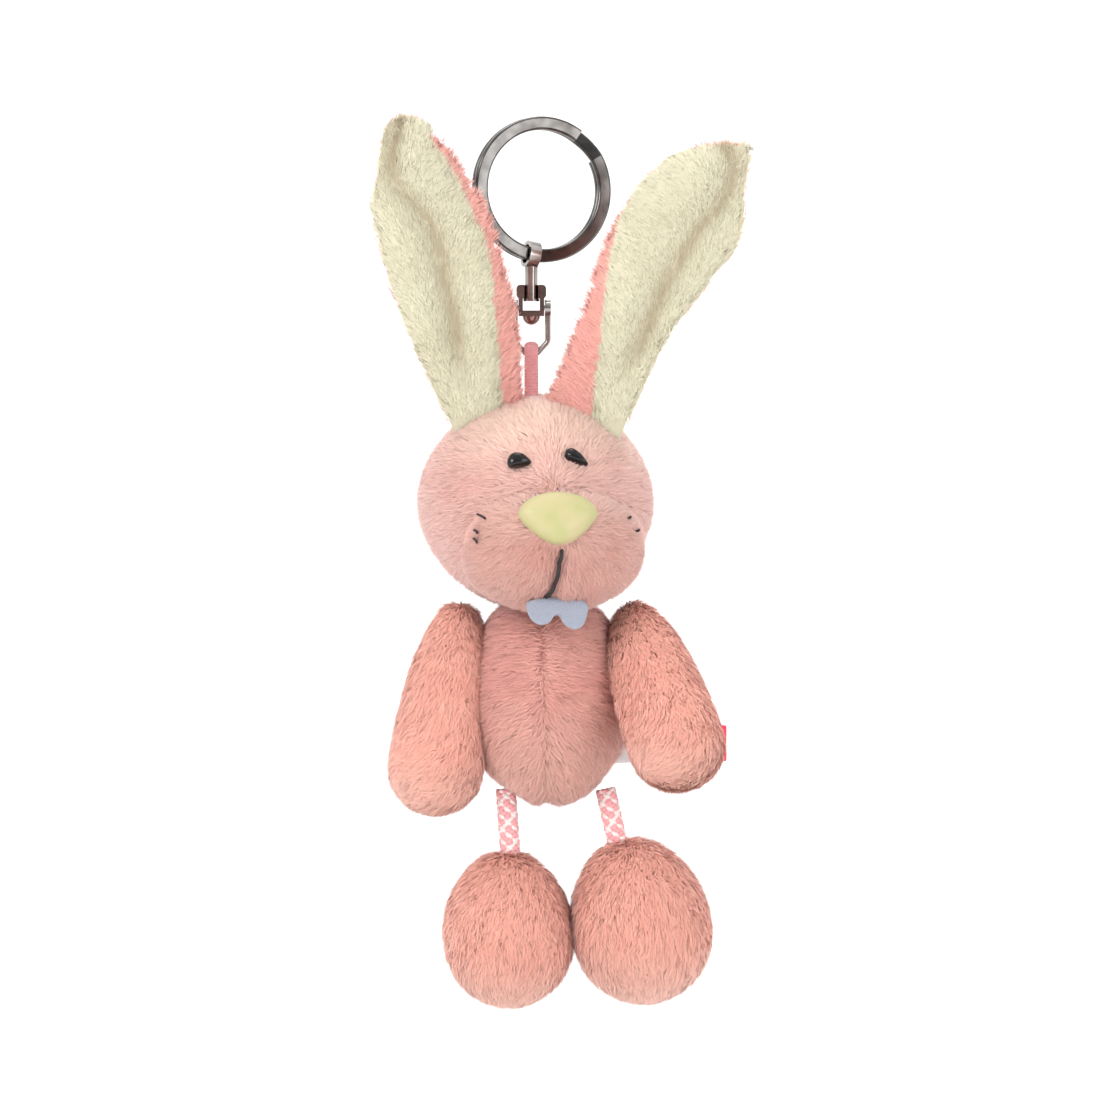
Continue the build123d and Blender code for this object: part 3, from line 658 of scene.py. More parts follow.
coat("head_front_pile", head_form, from_face, "head", "plush_head", 56000, 2.2, head_pile, seed=11,
     lift=0.5, stray=0.3, zone=forehead_painted_highlight, keep=lambda p, n: off_muzzle_and_eyes(p, n) * is_front(p, n))
coat("head_back_pile", head_form, from_face, "head", "plush_head", 44000, 2.2, head_pile, seed=12,
     lift=0.5, stray=0.3, keep=lambda p, n: 1 - is_front(p, n))
coat("muzzle_pile", muzzle_form, from_nose, "head", "plush_head", 56000, 2.3, muzzle_pile, seed=13,
     lift=0.5, stray=0.4, zone=muzzle_top_painted_highlight, keep=off_head)

# %% [markdown]
# ## Torso, arms and feet
# The torso is an egg on its wide end. Its pile parts at the front seam: level at the chest, turning
# down toward the legs. Arms and feet are teardrops with the pile running down to a swirl at the end.

# %% Torso
torso_low, torso_high = (
    np.array([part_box(f"torso_{n}_panel")[k] for n in ("left_front", "right_front", "back")]) / MM
    for k in (0, 1)
)
torso_low, torso_high = torso_low.min(0), torso_high.max(0)
TORSO_TUCK = 4.5
torso_wide = torso_high[0] - torso_low[0]
torso_tall = torso_high[2] - torso_low[2] + TORSO_TUCK
torso_shape = (12.5, 12.5, torso_tall - 25.0, side_bulge(torso_wide, torso_tall, 12.5))
torso_middle = (torso_low + torso_high) / 2
torso_middle[2] = torso_low[2] + torso_tall / 2
upright = ((1, 0, 0), (0, 1, 0), (0, 0, 1))


def seam_x(z):
    """The front seam runs down the middle of the torso, a little to the left at the top."""
    return torso_middle[0] + 0.03 * (torso_middle[2] - z) - 0.6


def torso_push(places):
    x, y, z = np.moveaxis(places, -1, 0)
    front = np.exp(-((x - seam_x(z)) ** 2) / 0.9**2) * (y < torso_middle[1])
    back = np.exp(-((x - torso_middle[0]) ** 2) / 0.8**2) * (y > torso_middle[1])
    hips = sum(
        spot(places, np.array(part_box(f"{side}_leg_cord")[1]) / MM - (2, 2, 1), 4.0)
        for side in ("left", "right")
    )
    return -0.55 * front - 0.3 * back - 0.8 * hips


torso_form = egg_form(torso_middle, upright, torso_shape, FUR_ROOM).push(torso_push)
padded("torso_skin", torso_form, body_ground, "torso",
       ["torso_left_front_panel", "torso_right_front_panel", "torso_back_panel", "torso_stuffing"])


def part_at_seam(places, normals):
    """Level and outward at the chest, turning down toward the legs."""
    x, y, z = np.moveaxis(places, -1, 0)
    down = np.clip((torso_high[2] - z) / (torso_high[2] - torso_low[2]), 0, 1)
    angle = np.radians(4 + 80 * down**1.6)
    side = np.tanh((x - seam_x(z)) / 0.8)
    flow = np.stack([side * np.cos(angle), 0.25 * np.cos(angle) * np.ones_like(x), -np.sin(angle) - 0.02], -1)
    return flow


def below_neck(places, normals):
    return (places[..., 2] < torso_high[2] + 3).astype(float)


coat("torso_front_pile", torso_form, part_at_seam, "torso", "plush_body", 48000, 2.5, body_pile, seed=21,
     lift=0.48, stray=0.3, keep=lambda p, n: below_neck(p, n) * (p[..., 1] < torso_middle[1]),
     zone=lambda p, n: np.clip((torso_high[2] - 12 - p[..., 2]) / 20, 0, 0.8))
coat("torso_back_pile", torso_form, part_at_seam, "torso", "plush_body", 40000, 2.0, body_pile, seed=22,
     lift=0.42, keep=lambda p, n: below_neck(p, n) * (p[..., 1] >= torso_middle[1]))

# %% Tail
tail_low, tail_high = (np.array(c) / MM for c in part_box("tail"))
tail_middle = (tail_low + tail_high) / 2
tail_size = (tail_high - tail_low)[2] / 2
tail_shape = (tail_size - 0.1, tail_size - 0.1, 0.2, tail_size)
tail_form = egg_form(tail_middle - (0, 1.0, 0), upright, tail_shape, 0.6, 40, 60)
padded("tail_skin", tail_form, body_ground, "torso", ["tail"])
coat("tail_pile", tail_form, lambda p, n: p - tail_middle + (0, -8, 3), "torso", "plush_body", 9000, 2.2,
     body_pile, seed=23, lift=0.7, stray=0.5)

# %% Arms
SHOULDER_RADIUS = 3.4
PAW_RADIUS = 7.9
ARM_LENGTH = 36.4
ARM_BULGE = 60.0
ARM_SHAPE = (SHOULDER_RADIUS, PAW_RADIUS, ARM_LENGTH - SHOULDER_RADIUS - PAW_RADIUS, ARM_BULGE)
ARM_LEANS = {"left": (-8.5, 7.0), "right": (15.5, 33.0)}


def arm_frame(side):
    """The arm's own axes: the third runs down the arm, leaning out and to the front."""
    out, forward = np.radians(ARM_LEANS[side])
    down = np.array([np.sin(out), -np.cos(out) * np.sin(forward), -np.cos(out) * np.cos(forward)])
    first = unit(np.array([0, 1.0, 0]) - down * down[1])
    return first, np.cross(down, first), down


def paw_swirl(end, down):
    """Hairs run down the arm, and curl round toward the front at the paw."""

    def flow(places, normals):
        near = spot(places, end + (0, -4, 0), 9.0)[..., None]
        return down + near * np.cross(normals, (0.3, -0.4, 0.6)) * 1.2 + (normals * (1, 0, 0)) * 0.4

    return flow


for side in ("left", "right"):
    boxes = [np.array([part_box(f"{side}_arm_{n}_panel")[k] for n in ("outer", "inner")]) / MM for k in (0, 1)]
    arm_low, arm_high = boxes[0].min(0), boxes[1].max(0)
    first, second, down = arm_frame(side)
    paw_end = np.array([
        arm_low[0] + PAW_RADIUS if side == "left" else arm_high[0] - PAW_RADIUS,
        arm_low[1] + PAW_RADIUS,
        arm_low[2] + PAW_RADIUS,
    ])
    arm_middle = paw_end - down * ARM_SHAPE[2] / 2
    shoulder = paw_end - down * ARM_SHAPE[2]
    inner = np.array([1.0 if side == "left" else -1.0, 0, 0])
    arm_form = egg_form(arm_middle, (first, second, down), ARM_SHAPE, FUR_ROOM)
    armpit = shoulder + inner * 3 + down * 7
    arm_form.push(lambda p: 1.5 * spot(p, armpit, 8.0) + 0.5 * spot(p, paw_end, 7.0))
    padded(f"{side}_arm_skin", arm_form, limb_ground, f"{side}_arm",
           [f"{side}_arm_outer_panel", f"{side}_arm_inner_panel", f"{side}_arm_stuffing"])
    coat(f"{side}_arm_pile", arm_form, paw_swirl(paw_end, down), f"{side}_arm", "plush_limb", 56000, 2.3,
         limb_pile, seed=31 if side == "left" else 32, lift=0.5, stray=0.35,
         zone=lambda p, n: np.clip((paw_end[2] + 3 - p[..., 2]) / 8, 0, 0.7))

# %% Feet
FEET = {"left": (22.6, 26.8, 4.0), "right": (24.4, 28.6, 12.0)}
HEEL_SHARE = 0.86
TOP_SHARE = 0.93
FOOT_BULGE_SHARE = 0.72
for side, (width, length, roll) in FEET.items():
    boxes = [np.array([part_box(f"{side}_foot_{n}")[k] for n in ("upper", "sole")]) / MM for k in (0, 1)]
    foot_low, foot_high = boxes[0].min(0), boxes[1].max(0)
    toe = width / 2 - 0.4
    heel = toe * HEEL_SHARE
    spread = length - toe - heel
    turn = np.radians(-roll)
    up = np.array([np.sin(turn), 0, np.cos(turn)])
    right = np.array([np.cos(turn), 0, -np.sin(turn)])
    foot_middle = (foot_low + foot_high) / 2
    foot_middle[2] = foot_low[2] + toe + spread / 2 * np.cos(turn)
    outer = foot_low[0] + width / 2 if side == "left" else foot_high[0] - width / 2
    foot_middle[0] = outer + (0.2 if side == "left" else -0.4)
    foot_shape = (toe, heel * TOP_SHARE, spread + heel * 0.07, width * FOOT_BULGE_SHARE)
    foot_form = egg_form(foot_middle, (right, (0, 1, 0), up), foot_shape, FUR_ROOM)
    padded(f"{side}_foot_skin", foot_form, limb_ground, f"{side}_foot",
           [f"{side}_foot_upper", f"{side}_foot_sole", f"{side}_foot_stuffing"])
    ankle = foot_middle + up * (length / 2)
    coat(f"{side}_foot_pile", foot_form, lambda p, n: p - ankle + np.cross(n, (0, 0, 3.0)), f"{side}_foot",
         "plush_limb", 60000, 2.3, limb_pile, seed=41 if side == "left" else 42, lift=0.52, stray=0.35,
         zone=lambda p, n: np.clip((foot_middle[2] - 4 - p[..., 2]) / 9, 0, 0.8))

# %% [markdown]
# ## Ears
# Each ear is two leaf-shaped sheets sewn edge to edge: a pink back and a cream lining, with a crease
# where the ear is folded lengthwise. Both are worked out in level slices: a table gives each slice's two
# edges and its crease, and the slice itself is a flattened ring, so each sheet is closed.

# %% Ear tables
EARS = {
    "left": {
        "foot": (-8.0, -5.0), "slope": 26.0,
        "edges": [(-53.8, -12.7, -1.2), (-49.6, -14.3, -1.2), (-42.2, -17.5, -1.8), (-37.7, -19.6, -2.1),
                  (-33.3, -21.3, -2.6), (-27.3, -23.5, -3.6), (-22.3, -24.8, -5.2), (-17.0, -26.1, -6.7),
                  (-13.9, -26.7, -7.9), (-11.9, -26.3, -9.1), (-8.6, -25.7, -11.2), (-5.9, -25.3, -13.1),
                  (-3.3, -24.8, -15.5), (-1.8, -24.4, -16.7), (-0.8, -23.9, -17.9), (-0.1, -23.0, -19.2),
                  (0.3, -21.3, -21.3)],
        "lining": [(-53.8, -4.8), (-45.4, -5.5), (-31.4, -6.6), (-21.0, -7.9), (-15.7, -10.2),
                   (-9.3, -13.2), (-3.5, -17.0), (-0.1, -19.1), (0.3, -20.6)],
        "crease": [(-53.8, -7.9), (-45.4, -10.2), (-40.1, -12.0), (-33.1, -12.9), (-26.1, -14.6),
                   (-20.3, -15.6), (-14.6, -18.9), (-11.2, -22.3), (-5.0, -23.0), (0.3, -21.3)],
    },
    "right": {
        "foot": (10.8, -5.0), "slope": -25.0,
        "edges": [(-53.8, -0.1, 15.2), (-49.0, 1.8, 16.9), (-41.8, 4.7, 20.2), (-37.7, 6.5, 22.2),
                  (-34.3, 7.8, 24.1), (-30.4, 9.4, 27.3), (-25.8, 10.7, 30.6), (-22.5, 11.8, 33.2),
                  (-19.6, 13.0, 34.9), (-16.2, 15.0, 35.6), (-12.9, 17.2, 35.7), (-10.2, 19.1, 36.1),
                  (-7.6, 22.2, 36.4), (-5.9, 25.5, 36.7), (-5.0, 27.9, 36.6), (-4.5, 29.4, 35.9),
                  (-4.3, 32.1, 32.5)],
        "lining": [(-53.8, 10.1), (-46.5, 10.9), (-42.5, 11.3), (-32.6, 12.6), (-21.1, 14.3),
                   (-13.6, 16.9), (-8.5, 21.2), (-4.7, 28.9), (-4.3, 31.5)],
        "crease": [(-53.8, 11.8), (-47.8, 13.5), (-37.6, 18.6), (-27.3, 22.9), (-18.7, 28.0),
                   (-11.9, 33.2), (-7.0, 34.0), (-4.3, 32.3)],
    },
}
EAR_LEAN = np.radians(18)


def eased(table, column, at):
    """Smooth curve through a table's column: a cubic between rows, with slopes from the neighbours."""
    rows = np.array(table, float)
    x, y = rows[:, 0], rows[:, column]
    slope = np.gradient(y, x)
    k = np.clip(np.searchsorted(x, at) - 1, 0, len(x) - 2)
    wide = x[k + 1] - x[k]
    s = np.clip((at - x[k]) / wide, 0, 1)
    a = y[k] * (1 + 2 * s) * (1 - s) ** 2 + slope[k] * wide * s * (1 - s) ** 2
    return a + y[k + 1] * s**2 * (3 - 2 * s) - slope[k + 1] * wide * s**2 * (1 - s)


def ear_sheet(ear, foot_z, from_x, to_x, thick, forward, rows=80, around=64):
    """One sheet. Slice heights crowd toward the tip; in a slice, x runs from edge to edge as a cosine
    and the thickness as a sine, and the ear's plane, leaning forward, gives the depth. The crease is a
    valley in the front, and both edges curl back."""
    table = ear["edges"]
    start, end = table[0][0], table[-1][0]
    z = start + (end - start) * np.sin(np.linspace(0, np.pi / 2, rows))[:, None]
    left, right = from_x(z), to_x(z)
    u = np.linspace(0, 2 * np.pi, around, endpoint=False)[None]
    x = (left + right) / 2 + (right - left) / 2 * np.cos(u)
    foot_x, foot_y = ear["foot"]
    slope = np.radians(ear["slope"])
    up = (-(x - foot_x) * np.sin(slope) + (z - foot_z) * np.cos(slope)) / np.cos(EAR_LEAN)
    outer, inner = eased(table, 1, z), eased(table, 2, z)
    crease = eased(ear["crease"], 1, z)
    half = np.maximum((inner - outer) / 2, 0.3)
    off_crease = (x - crease) / half
    lobes = 2.6 * (1 - np.exp(-((off_crease / 0.36) ** 2))) - 0.9 * np.abs((x - (inner + outer) / 2) / half) ** 4
    grown = np.clip((z - foot_z) / 9, 0, 1) * np.clip((end - z) / 6, 0, 1) ** 0.5
    body = thick * np.clip((right - left) / 6, 0, 1) ** 0.5 * np.abs(np.sin(u)) ** 0.8 * np.sign(np.sin(u))
    y = foot_y - up * np.sin(EAR_LEAN) - lobes * grown + body - forward
    z = z + 0 * x
    return Form(np.stack([x, y, z], -1))


print("ear tables ready")

# %% Ears
for side, ear in EARS.items():
    foot_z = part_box(f"{side}_ear_back")[0][2] / MM + 4.0
    edges = ear["edges"]

    def outer_edge(z):
        return eased(edges, 1, z) if side == "left" else eased(edges, 2, z)

    def lining_edge(z):
        return eased(ear["lining"], 1, z)

    back_form = ear_sheet(
        ear, foot_z, lambda z: eased(edges, 1, z) + 0.5, lambda z: eased(edges, 2, z) - 0.5, 1.3, -0.6
    )
    if side == "left":
        lining_form = ear_sheet(ear, foot_z, lambda z: outer_edge(z) + 0.35, lining_edge, 1.0, 0.75)
    else:
        lining_form = ear_sheet(ear, foot_z, lining_edge, lambda z: outer_edge(z) - 0.35, 1.0, 0.75)
    bend = {
        "start": np.array([ear["foot"][0], -5.0, foot_z - 1.0]) * MM,
        "end": np.array([ear["foot"][0], -6.5, foot_z + 6.0]) * MM,
    }

    def up_the_ear(places, normals):
        """Hairs lean up the ear and out to its edges."""
        z = places[..., 2]
        centre = eased(ear["crease"], 1, z)
        return np.stack([(places[..., 0] - centre) * 0.12, 0 * z, 1 + 0 * z], -1)

    pieces = {
        "ear_back_skin": build(f"{side}_ear_back_skin", *back_form.mesh_arrays(), ear_ground.material),
        "ear_lining_skin": build(f"{side}_ear_lining_skin", *lining_form.mesh_arrays(), cream_ground.material),
    }

    def above_foot(places, normals):
        return (places[..., 2] > foot_z - 3).astype(float)

    def fronts(places, normals):
        return above_foot(places, normals) * (normals[..., 1] < 0.25)

    def in_crease(places, normals):
        """The pile lies deep and shaded along the crease."""
        z = places[..., 2]
        off = (places[..., 0] - eased(ear["crease"], 1, z)) / 1.5
        return np.exp(-(off**2)) * np.clip((z - foot_z - 2) / 8, 0, 1)

    pieces["ear_back_pile"] = fur(f"{side}_ear_back_pile", back_form, up_the_ear, 34000, 1.8, ear_pile,
                                  seed=51 if side == "left" else 52, lift=0.35, keep=above_foot)
    pieces["ear_lining_pile"] = fur(f"{side}_ear_lining_pile", lining_form, up_the_ear, 30000, 1.5, cream_pile,
                                    seed=53 if side == "left" else 54, lift=0.3, keep=fronts, width=0.14,
                                    zone=in_crease)
    for key, piece in pieces.items():
        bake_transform(piece)
    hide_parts(f"{side}_ear_back")
    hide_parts(f"{side}_ear_lining")
    print(side, "ear done")

# %% [markdown]
# ## Nose, teeth, tags: small sewn shapes
# These are flat outlines with a rounded edge. `lens` carries an outline from a back pole to a front
# pole: its size follows a cosine and its depth a sine, each raised to a power, so a low power gives a
# felt slab with a flat face and a power of 1 gives a plump cushion.

# %% Lens form


def closed_curve(points, count):
    """A smooth closed line through points: for each stretch, the Catmull-Rom cubic of its four points."""
    p = np.array(points, float)
    t = np.linspace(0, len(p), count, endpoint=False)
    k = t.astype(int)
    s = (t - k)[:, None]
    a, b, c, d = (np.roll(p, shift, 0)[k] for shift in (1, 0, -1, -2))
    return 0.5 * (2 * b + (c - a) * s + (2 * a - 5 * b + 4 * c - d) * s**2 + (3 * b - a - 3 * c + d) * s**3)


def lens(origin, right, up, points, depth, power=1.0, rows=36, around=96):
    """A closed cushion over an outline of (right, up) points, counterclockwise as seen from the front."""
    right, up = unit(np.array(right, float)), unit(np.array(up, float))
    out = np.cross(right, up)
    edge = closed_curve(points, around)
    turn = np.linspace(-np.pi / 2, np.pi / 2, rows)[:, None]
    size = np.abs(np.cos(turn)) ** power
    thick = depth / 2 * np.sign(np.sin(turn)) * np.abs(np.sin(turn)) ** power
    flat = size[..., None] * (edge[None, :, :1] * right + edge[None, :, 1:] * up)
    return Form(np.array(origin) + flat + (thick + 0 * size)[..., None] * out)


def muzzle_y(x, z):
    """Front of the muzzle in the head's frame: its middle less the half-round of its section there."""
    radius = 11.3 - MUZZLE_SHAPE[3] + np.sqrt(MUZZLE_SHAPE[3] ** 2 - (x - MUZZLE_AT[0]) ** 2)
    return MUZZLE_AT[1] - np.sqrt(np.maximum(radius**2 - (z - MUZZLE_AT[2]) ** 2, 0.1))


def add_piece(name, form, finish, body, nodes=()):
    """A finished closed form that rides on a body and stands for CAD nodes."""
    piece = build(name, *form.mesh_arrays(), finish.material)
    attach(piece, body)
    if nodes:
        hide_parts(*nodes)
    print(name, len(piece.data.polygons), "faces")
    return piece


print("lens ready")

# %% [markdown]
# ## Eyes
# The eyes are round beads, but the pile closes over their rims, so what shows is a slanting almond. A
# sphere would need lids over it, so each is a glossy lens over an almond outline, sunk in the pile.

# %% Eyes
bead = Finish("bead_black")
bead_depth = bead.noise(500, 1.0)
bead.set(Base_Color=bead.mix(bead_depth, (0.004, 0.004, 0.004), (0.012, 0.010, 0.010)))
bead.set(Roughness=bead_depth * 0.04 + 0.06, Specular_IOR_Level=0.35)
ALMONDS = {
    "left": [(-1.95, -0.35), (-1.75, -0.95), (-1.2, -1.25), (0.2, -1.1), (1.3, -0.85), (2.1, -0.35),
             (1.6, 0.45), (0.7, 1.2), (-0.4, 1.4), (-1.3, 1.1), (-1.8, 0.4)],
    "right": [(-1.75, 0.55), (-1.6, -0.1), (-0.7, -0.75), (0.5, -1.15), (1.5, -1.4), (2.15, -1.35),
              (1.75, -0.5), (1.1, 0.45), (0.2, 1.25), (-0.6, 1.6), (-1.35, 1.3)],
}
EYES_AT = {"left": (-6.35, 6.75), "right": (3.4, 7.35)}
FACE_REACH = 17.6
FACE_TAPER = 0.11
for side, (x, z) in EYES_AT.items():
    surface = -np.sqrt(FACE_REACH**2 - z**2 - (FACE_TAPER * x) ** 2)
    eye_at = on_head(x, surface - 0.2, z)
    eye_up = unit(head_z * 0.93 + head_y * 0.36)
    dome = lens(eye_at, head_x, eye_up, ALMONDS[side], 2.6, 0.8)
    add_piece(f"{side}_eye_dome", dome, bead, "head", [f"{side}_eye"])

# %% Nose
satin = Finish("nose_satin")
satin_grain = satin.noise(5200, 1.0)
satin_wash = satin.noise(160, 2.0)
satin.set(Base_Color=satin.mix(satin_wash.above(0.35, 0.65), (0.36, 0.37, 0.15), (0.44, 0.39, 0.20)))
satin.set(Roughness=satin_grain * 0.12 + 0.42, Sheen_Weight=0.3, Sheen_Roughness=0.3)
satin.set(Normal=satin.bump(satin_grain, 0.00006, 0.35))
NOSE = [(-6.75, 0.9), (-6.3, -0.4), (-5.0, -1.9), (-3.0, -3.6), (-1.2, -4.5), (0.7, -4.6), (2.6, -3.9),
        (4.7, -2.2), (6.2, -0.5), (6.75, 0.7), (6.2, 2.2), (4.2, 3.7), (0.8, 4.5), (-2.6, 4.2), (-5.4, 2.9)]
nose_z = -2.9
nose_at = on_head(-0.7, muzzle_y(-0.7, nose_z) + 0.1, nose_z)
nose_tilt = np.radians(20)
nose_up = head_z * np.cos(nose_tilt) + head_y * np.sin(nose_tilt)
nose_form = lens(nose_at, head_x, nose_up, NOSE, 5.4, 0.85)
add_piece("nose_pad", nose_form, satin, "head", ["nose"])

# %% Teeth
felt = Finish("tooth_felt")
felt_fuzz = felt.noise(3800, 3.0)
felt.set(Base_Color=felt.mix(felt_fuzz, (0.21, 0.23, 0.29), (0.31, 0.33, 0.39)), Roughness=0.95)
felt.set(Normal=felt.bump(felt_fuzz, 0.00015, 0.6), Sheen_Weight=0.3)
TEETH = [(-5.2, 1.4), (-5.0, -0.4), (-4.2, -1.7), (-2.9, -2.3), (-1.5, -1.9), (-0.5, -0.7), (0.5, -0.9),
         (1.3, -2.3), (2.7, -3.1), (4.1, -2.6), (5.0, -0.9), (5.2, 1.2), (3.4, 2.2), (0, 2.4), (-3.4, 2.2)]
teeth_at = on_head(-0.1, -18.6, -18.6)
teeth_form = lens(teeth_at, head_x, head_z * 0.97 + head_y * 0.24, TEETH, 1.3, 0.45)
add_piece("felt_teeth", teeth_form, felt, "head", ["teeth"])

# %% [markdown]
# ## Threads and cords
# A thread is a round section carried along a line on the skin. `tube` does that for any line: a frame of
# two vectors across the line holds an oval, and the ends close to a point.

# %% Tube form


def tube(path, side, wide, deep, around=16):
    """A closed tube: at each point of the path, an oval `wide` along the side vector and `deep` across it.
    The ends close to a point."""
    path, side = np.array(path, float), np.broadcast_to(np.array(side, float), np.shape(path))
    run = unit(np.gradient(path, axis=0))
    first = unit(side - (side * run).sum(-1, keepdims=True) * run)
    second = np.cross(run, first)
    ends = np.ones(len(path))
    ends[0] = ends[-1] = 0
    wide, deep = (np.broadcast_to(x, len(path)) * ends for x in (wide, deep))
    u = np.linspace(0, 2 * np.pi, around, endpoint=False)
    across = (wide[:, None] * np.cos(u))[..., None] * first[:, None]
    return Form(path[:, None] + across + (deep[:, None] * np.sin(u))[..., None] * second[:, None])


# %% Thread helpers


def join_forms(forms):
    """The mesh arrays of several closed forms as one."""
    places, quads, points, start = [], [], [], 0
    for form in forms:
        p, (four, three) = form.mesh_arrays()
        places.append(p)
        quads.append(four + start)
        points.append(three + start)
        start += len(p)
    return np.concatenate(places), [np.concatenate(quads), np.concatenate(points)]


def round_end(count, share=0.08):
    """Thickness along a thread: full in the middle, rounded off at both ends."""
    s = np.linspace(0, 1, count)
    return np.sqrt(np.clip(1 - (1 - np.minimum(s, 1 - s) / share).clip(0) ** 2, 0, 1))


def add_threads(name, forms, finish, body, nodes=()):
    """Several closed forms as one piece that rides on a body."""
    places, faces = join_forms(forms)
    piece = build(name, places, faces, finish.material)
    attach(piece, body)
    if nodes:
        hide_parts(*nodes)
    print(name, len(forms), "strands")
    return piece


def yarn(name, colour, twist_scale=3000):
    """Thread colour with fine uneven fibres."""
    finish = Finish(name)
    fibre = finish.noise(twist_scale, 2.0)
    finish.set(Base_Color=finish.mix(fibre, tuple(c * 0.72 for c in colour), colour), Roughness=0.75)
    finish.set(Normal=finish.bump(fibre, 0.0001, 0.5), Sheen_Weight=0.25 if colour[0] > 0.1 else 0.0)
    return finish


black_yarn = yarn("black_yarn", (0.02, 0.015, 0.015))
pink_yarn = yarn("pink_yarn", (0.90, 0.40, 0.42))
pale_yarn = yarn("pale_yarn", (0.95, 0.82, 0.80))
print("tubes ready")

# %% Mouth and whisker stitches


def face_line(points, lift, count=24):
    """Points (x, z) of the head's frame laid on the muzzle, raised by lift at the middle of the line."""
    points = np.array(points, float)
    s = np.linspace(0, 1, count)
    at = np.linspace(0, 1, len(points))
    x, z = (np.interp(s, at, points[:, k]) for k in (0, 1))
    y = muzzle_y(x, z) + 0.9 - (0.9 + lift) * np.sin(np.pi * s) ** 0.4
    return head_middle + x[:, None] * head_x + y[:, None] * head_y + z[:, None] * head_z


MOUTH = [[(-0.25, -8.3), (-0.45, -9.6), (-0.7, -10.7)], [(-0.6, -10.5), (-0.75, -12.4), (-1.1, -14.3)],
         [(-1.0, -14.1), (-1.45, -15.3), (-2.1, -16.3)]]
mouth = [tube(face_line(line, 0.15), head_x, 0.34 * round_end(24), 0.34 * round_end(24)) for line in MOUTH]
add_threads("mouth_stitches", mouth, black_yarn, "head", ["mouth_thread"])
WHISKERS = [[(-13.3, -2.2), (-12.2, -3.1)], [(-14.1, -4.9), (-13.7, -5.4)], [(-14.3, -6.3), (-13.8, -7.1)],
            [(12.2, -2.9), (12.8, -2.6)], [(13.7, -5.1), (14.2, -4.8)]]
whiskers = [
    tube(face_line(line, 0.85, 16), head_z, 0.20 * round_end(16), 0.20 * round_end(16)) for line in WHISKERS
]
add_threads("whisker_threads", whiskers, black_yarn, "head", ["whisker_stitches"])

# %% Hanging cord
cord_low, cord_high = (np.array(c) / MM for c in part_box("hang_loop"))
CORD_WIDE, CORD_DEEP = 1.25, 0.85
cord_bend = (cord_high[1] - cord_low[1]) / 2 - CORD_DEEP
cord_top = cord_high[2] - CORD_DEEP - cord_bend
leg = np.linspace(cord_low[2], cord_top, 150)[:, None]
bend = np.linspace(0, np.pi, 60)[1:-1, None]
cord_path = np.concatenate([
    np.hstack([0 * leg, 0 * leg - cord_bend, leg]),
    np.hstack([0 * bend, -cord_bend * np.cos(bend), cord_top + cord_bend * np.sin(bend)]),
    np.hstack([0 * leg, 0 * leg + cord_bend, leg[::-1]]),
])
cord_run = np.concatenate([[0], np.cumsum(np.linalg.norm(np.diff(cord_path, axis=0), axis=1))])
RIB = 0.52
rib = 0.5 + 0.5 * np.cos(2 * np.pi * cord_run / RIB)
cord_form = tube(cord_path, (1, 0, 0), CORD_WIDE - 0.12 + 0.12 * rib, CORD_DEEP - 0.10 + 0.10 * rib, 28)
add_threads("hanging_cord", [cord_form], pink_yarn, "hang_cord", ["hang_loop"])

# %% [markdown]
# ## Braided legs
# Each leg is a braid of eight yarns. Four wind one way round the rope and four the other, and each rides
# over and under the ones it meets: its distance from the middle is a cosine of four times its angle,
# with opposite signs for the two ways.

# %% Leg ropes
ROPE_CORE = 1.32
OVER = 0.22
for side in ("left", "right"):
    rope_low, rope_high = (np.array(c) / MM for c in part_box(f"{side}_leg_cord"))
    radius = (rope_high[1] - rope_low[1]) / 2
    lean = (rope_high[0] - rope_low[0]) - 2 * radius
    hip = np.array([rope_low[0] + radius, rope_low[1] + radius, rope_high[2] - radius + 0.6])
    ankle = np.array([hip[0] + lean, hip[1], rope_low[2] + radius - 0.6])
    run = unit(ankle - hip)
    first = unit(np.array([0, 1.0, 0]) - run * run[1])
    second = np.cross(run, first)
    length = np.linalg.norm(ankle - hip)
    s = np.linspace(0, 1, 90)
    angle = 2 * np.pi * length / 9.0 * s
    strands = {1: [], -1: []}
    for way in (1, -1):
        for start in range(8):
            around = way * angle + start * np.pi / 4
            out = np.cos(around)[:, None] * first + np.sin(around)[:, None] * second
            reach = ROPE_CORE + way * OVER * np.cos(8 * angle + start * np.pi)
            path = hip + s[:, None] * (ankle - hip) + out * reach[:, None]
            strands[way].append(tube(path, np.cross(run, out), 0.42, 0.30, 10))
    core = tube(hip + s[:, None] * (ankle - hip), first, 1.2, 1.2, 20)
    pink = [core, *strands[1][:3], *strands[1][4:7], *strands[-1][::2]]
    pale = [strands[1][3], strands[1][7], *strands[-1][1::2]]
    add_threads(f"{side}_leg_pink_yarns", pink, pink_yarn, f"{side}_leg",
                [f"{side}_leg_cord"])
    add_threads(f"{side}_leg_pale_yarns", pale, pale_yarn, f"{side}_leg")

# %% [markdown]
# ## Tags
# A red tape tag is sewn in the right paw's seam and a white care label in the torso's. Both are folded
# tape, so they are thin slabs with a round outer edge, and a weave that is finer than the pile.

# %% Tag and label


def tape(name, colour):
    """Woven tape: a fine noise varies the colour and raises the threads as a bump."""
    finish = Finish(name)
    grain = finish.noise(4200, 1.0)
    finish.set(Base_Color=finish.mix(grain, tuple(c * 0.8 for c in colour), colour), Roughness=0.6)
    finish.set(Normal=finish.bump(grain, 0.00008, 0.6))
    return finish


def rounded_box(half_wide, half_tall, corner=0.35):
    """Outline points of a box with soft corners, counterclockwise."""
    w, h, c = half_wide, half_tall, corner
    return [(w, -h + c), (w, 0), (w, h - c), (w - c, h), (0, h), (-w + c, h), (-w, h - c), (-w, 0),
            (-w, -h + c), (-w + c, -h), (0, -h), (w - c, -h)]


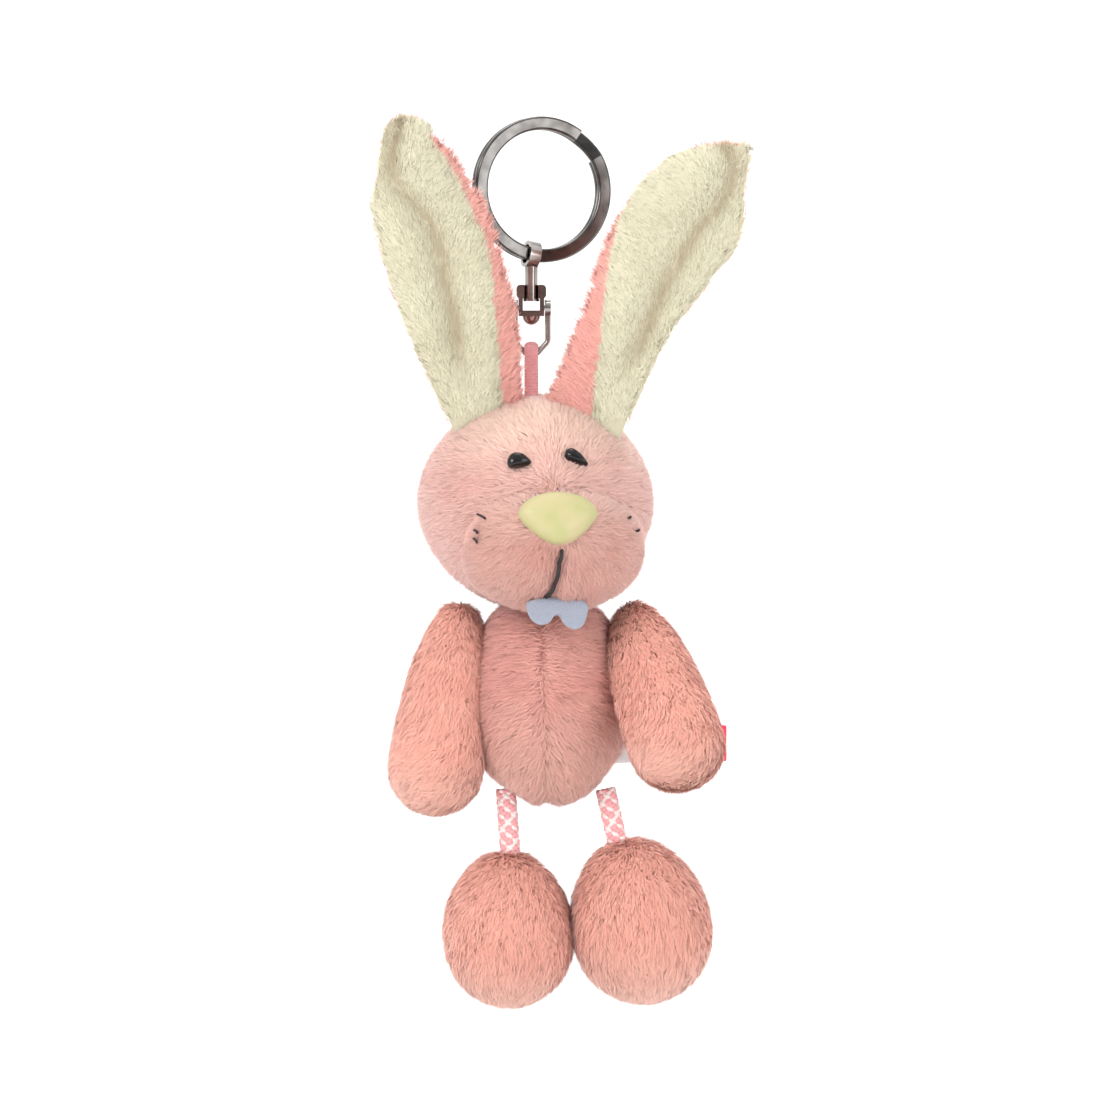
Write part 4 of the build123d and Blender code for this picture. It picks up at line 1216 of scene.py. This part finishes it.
for node, body, slot, colour in (
    ("side_tag", "right_arm", "tag_red", (0.80, 0.03, 0.09)),
    ("care_label", "torso", "label_white", (0.86, 0.86, 0.88)),
):
    tag_low, tag_high = (np.array(c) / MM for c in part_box(node))
    tag_middle, tag_size = (tag_low + tag_high) / 2, tag_high - tag_low
    flat = unit(np.array([tag_size[0], tag_size[1] if node == "side_tag" else 0, 0]))
    long = np.hypot(tag_size[0], tag_size[1]) if node == "side_tag" else tag_size[0]
    tag_form = lens(tag_middle, flat, (0, 0, 1), rounded_box(long / 2 + 0.5, tag_size[2] / 2), 0.75, 0.3)
    add_piece(f"{node}_tape", tag_form, tape(f"{node}_weave", colour), body, [node])

# %% [markdown]
# ## Metal and hidden parts
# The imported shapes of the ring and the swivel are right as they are, so they only get finishes.
# Nickel plate on steel is never even: fine scratches change its gloss.

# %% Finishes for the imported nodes


def plate(name, colour, worn, gloss):
    """Nickel plate: the gloss and the colour change a little over fine scratches and soft stains."""
    finish = Finish(name)
    scratch = finish.noise(2400, 4.0)
    stain = finish.noise(240, 2.0).above(0.35, 0.7)
    finish.set(Base_Color=finish.mix(stain, colour, worn), Metallic=1.0)
    finish.set(Roughness=scratch * 0.16 + gloss, Normal=finish.bump(scratch, 0.00002, 0.35))
    return finish


ring_plate = plate("ring_plate", (0.13, 0.125, 0.12), (0.06, 0.056, 0.054), 0.12)
swivel_plate = plate("swivel_plate", (0.30, 0.19, 0.17), (0.20, 0.12, 0.11), 0.14)
wire_plate = plate("wire_plate", (0.44, 0.41, 0.39), (0.30, 0.27, 0.26), 0.10)
washer = Finish("washer_plastic")
washer.set(Base_Color=washer.mix(washer.noise(900), (0.72, 0.72, 0.70), (0.82, 0.82, 0.80)), Roughness=0.5)
NODE_FINISHES = {
    "split_ring": ring_plate, "swivel_eye": wire_plate, "swivel_cage": swivel_plate,
    "swivel_rivet": swivel_plate, "wire_loop": wire_plate,
    "eye_washers": washer, "neck_thread": pink_yarn,
}
for node, finish in NODE_FINISHES.items():
    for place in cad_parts[node].material_slots:
        place.material = finish.material
print("finishes on", len(NODE_FINISHES), "nodes")
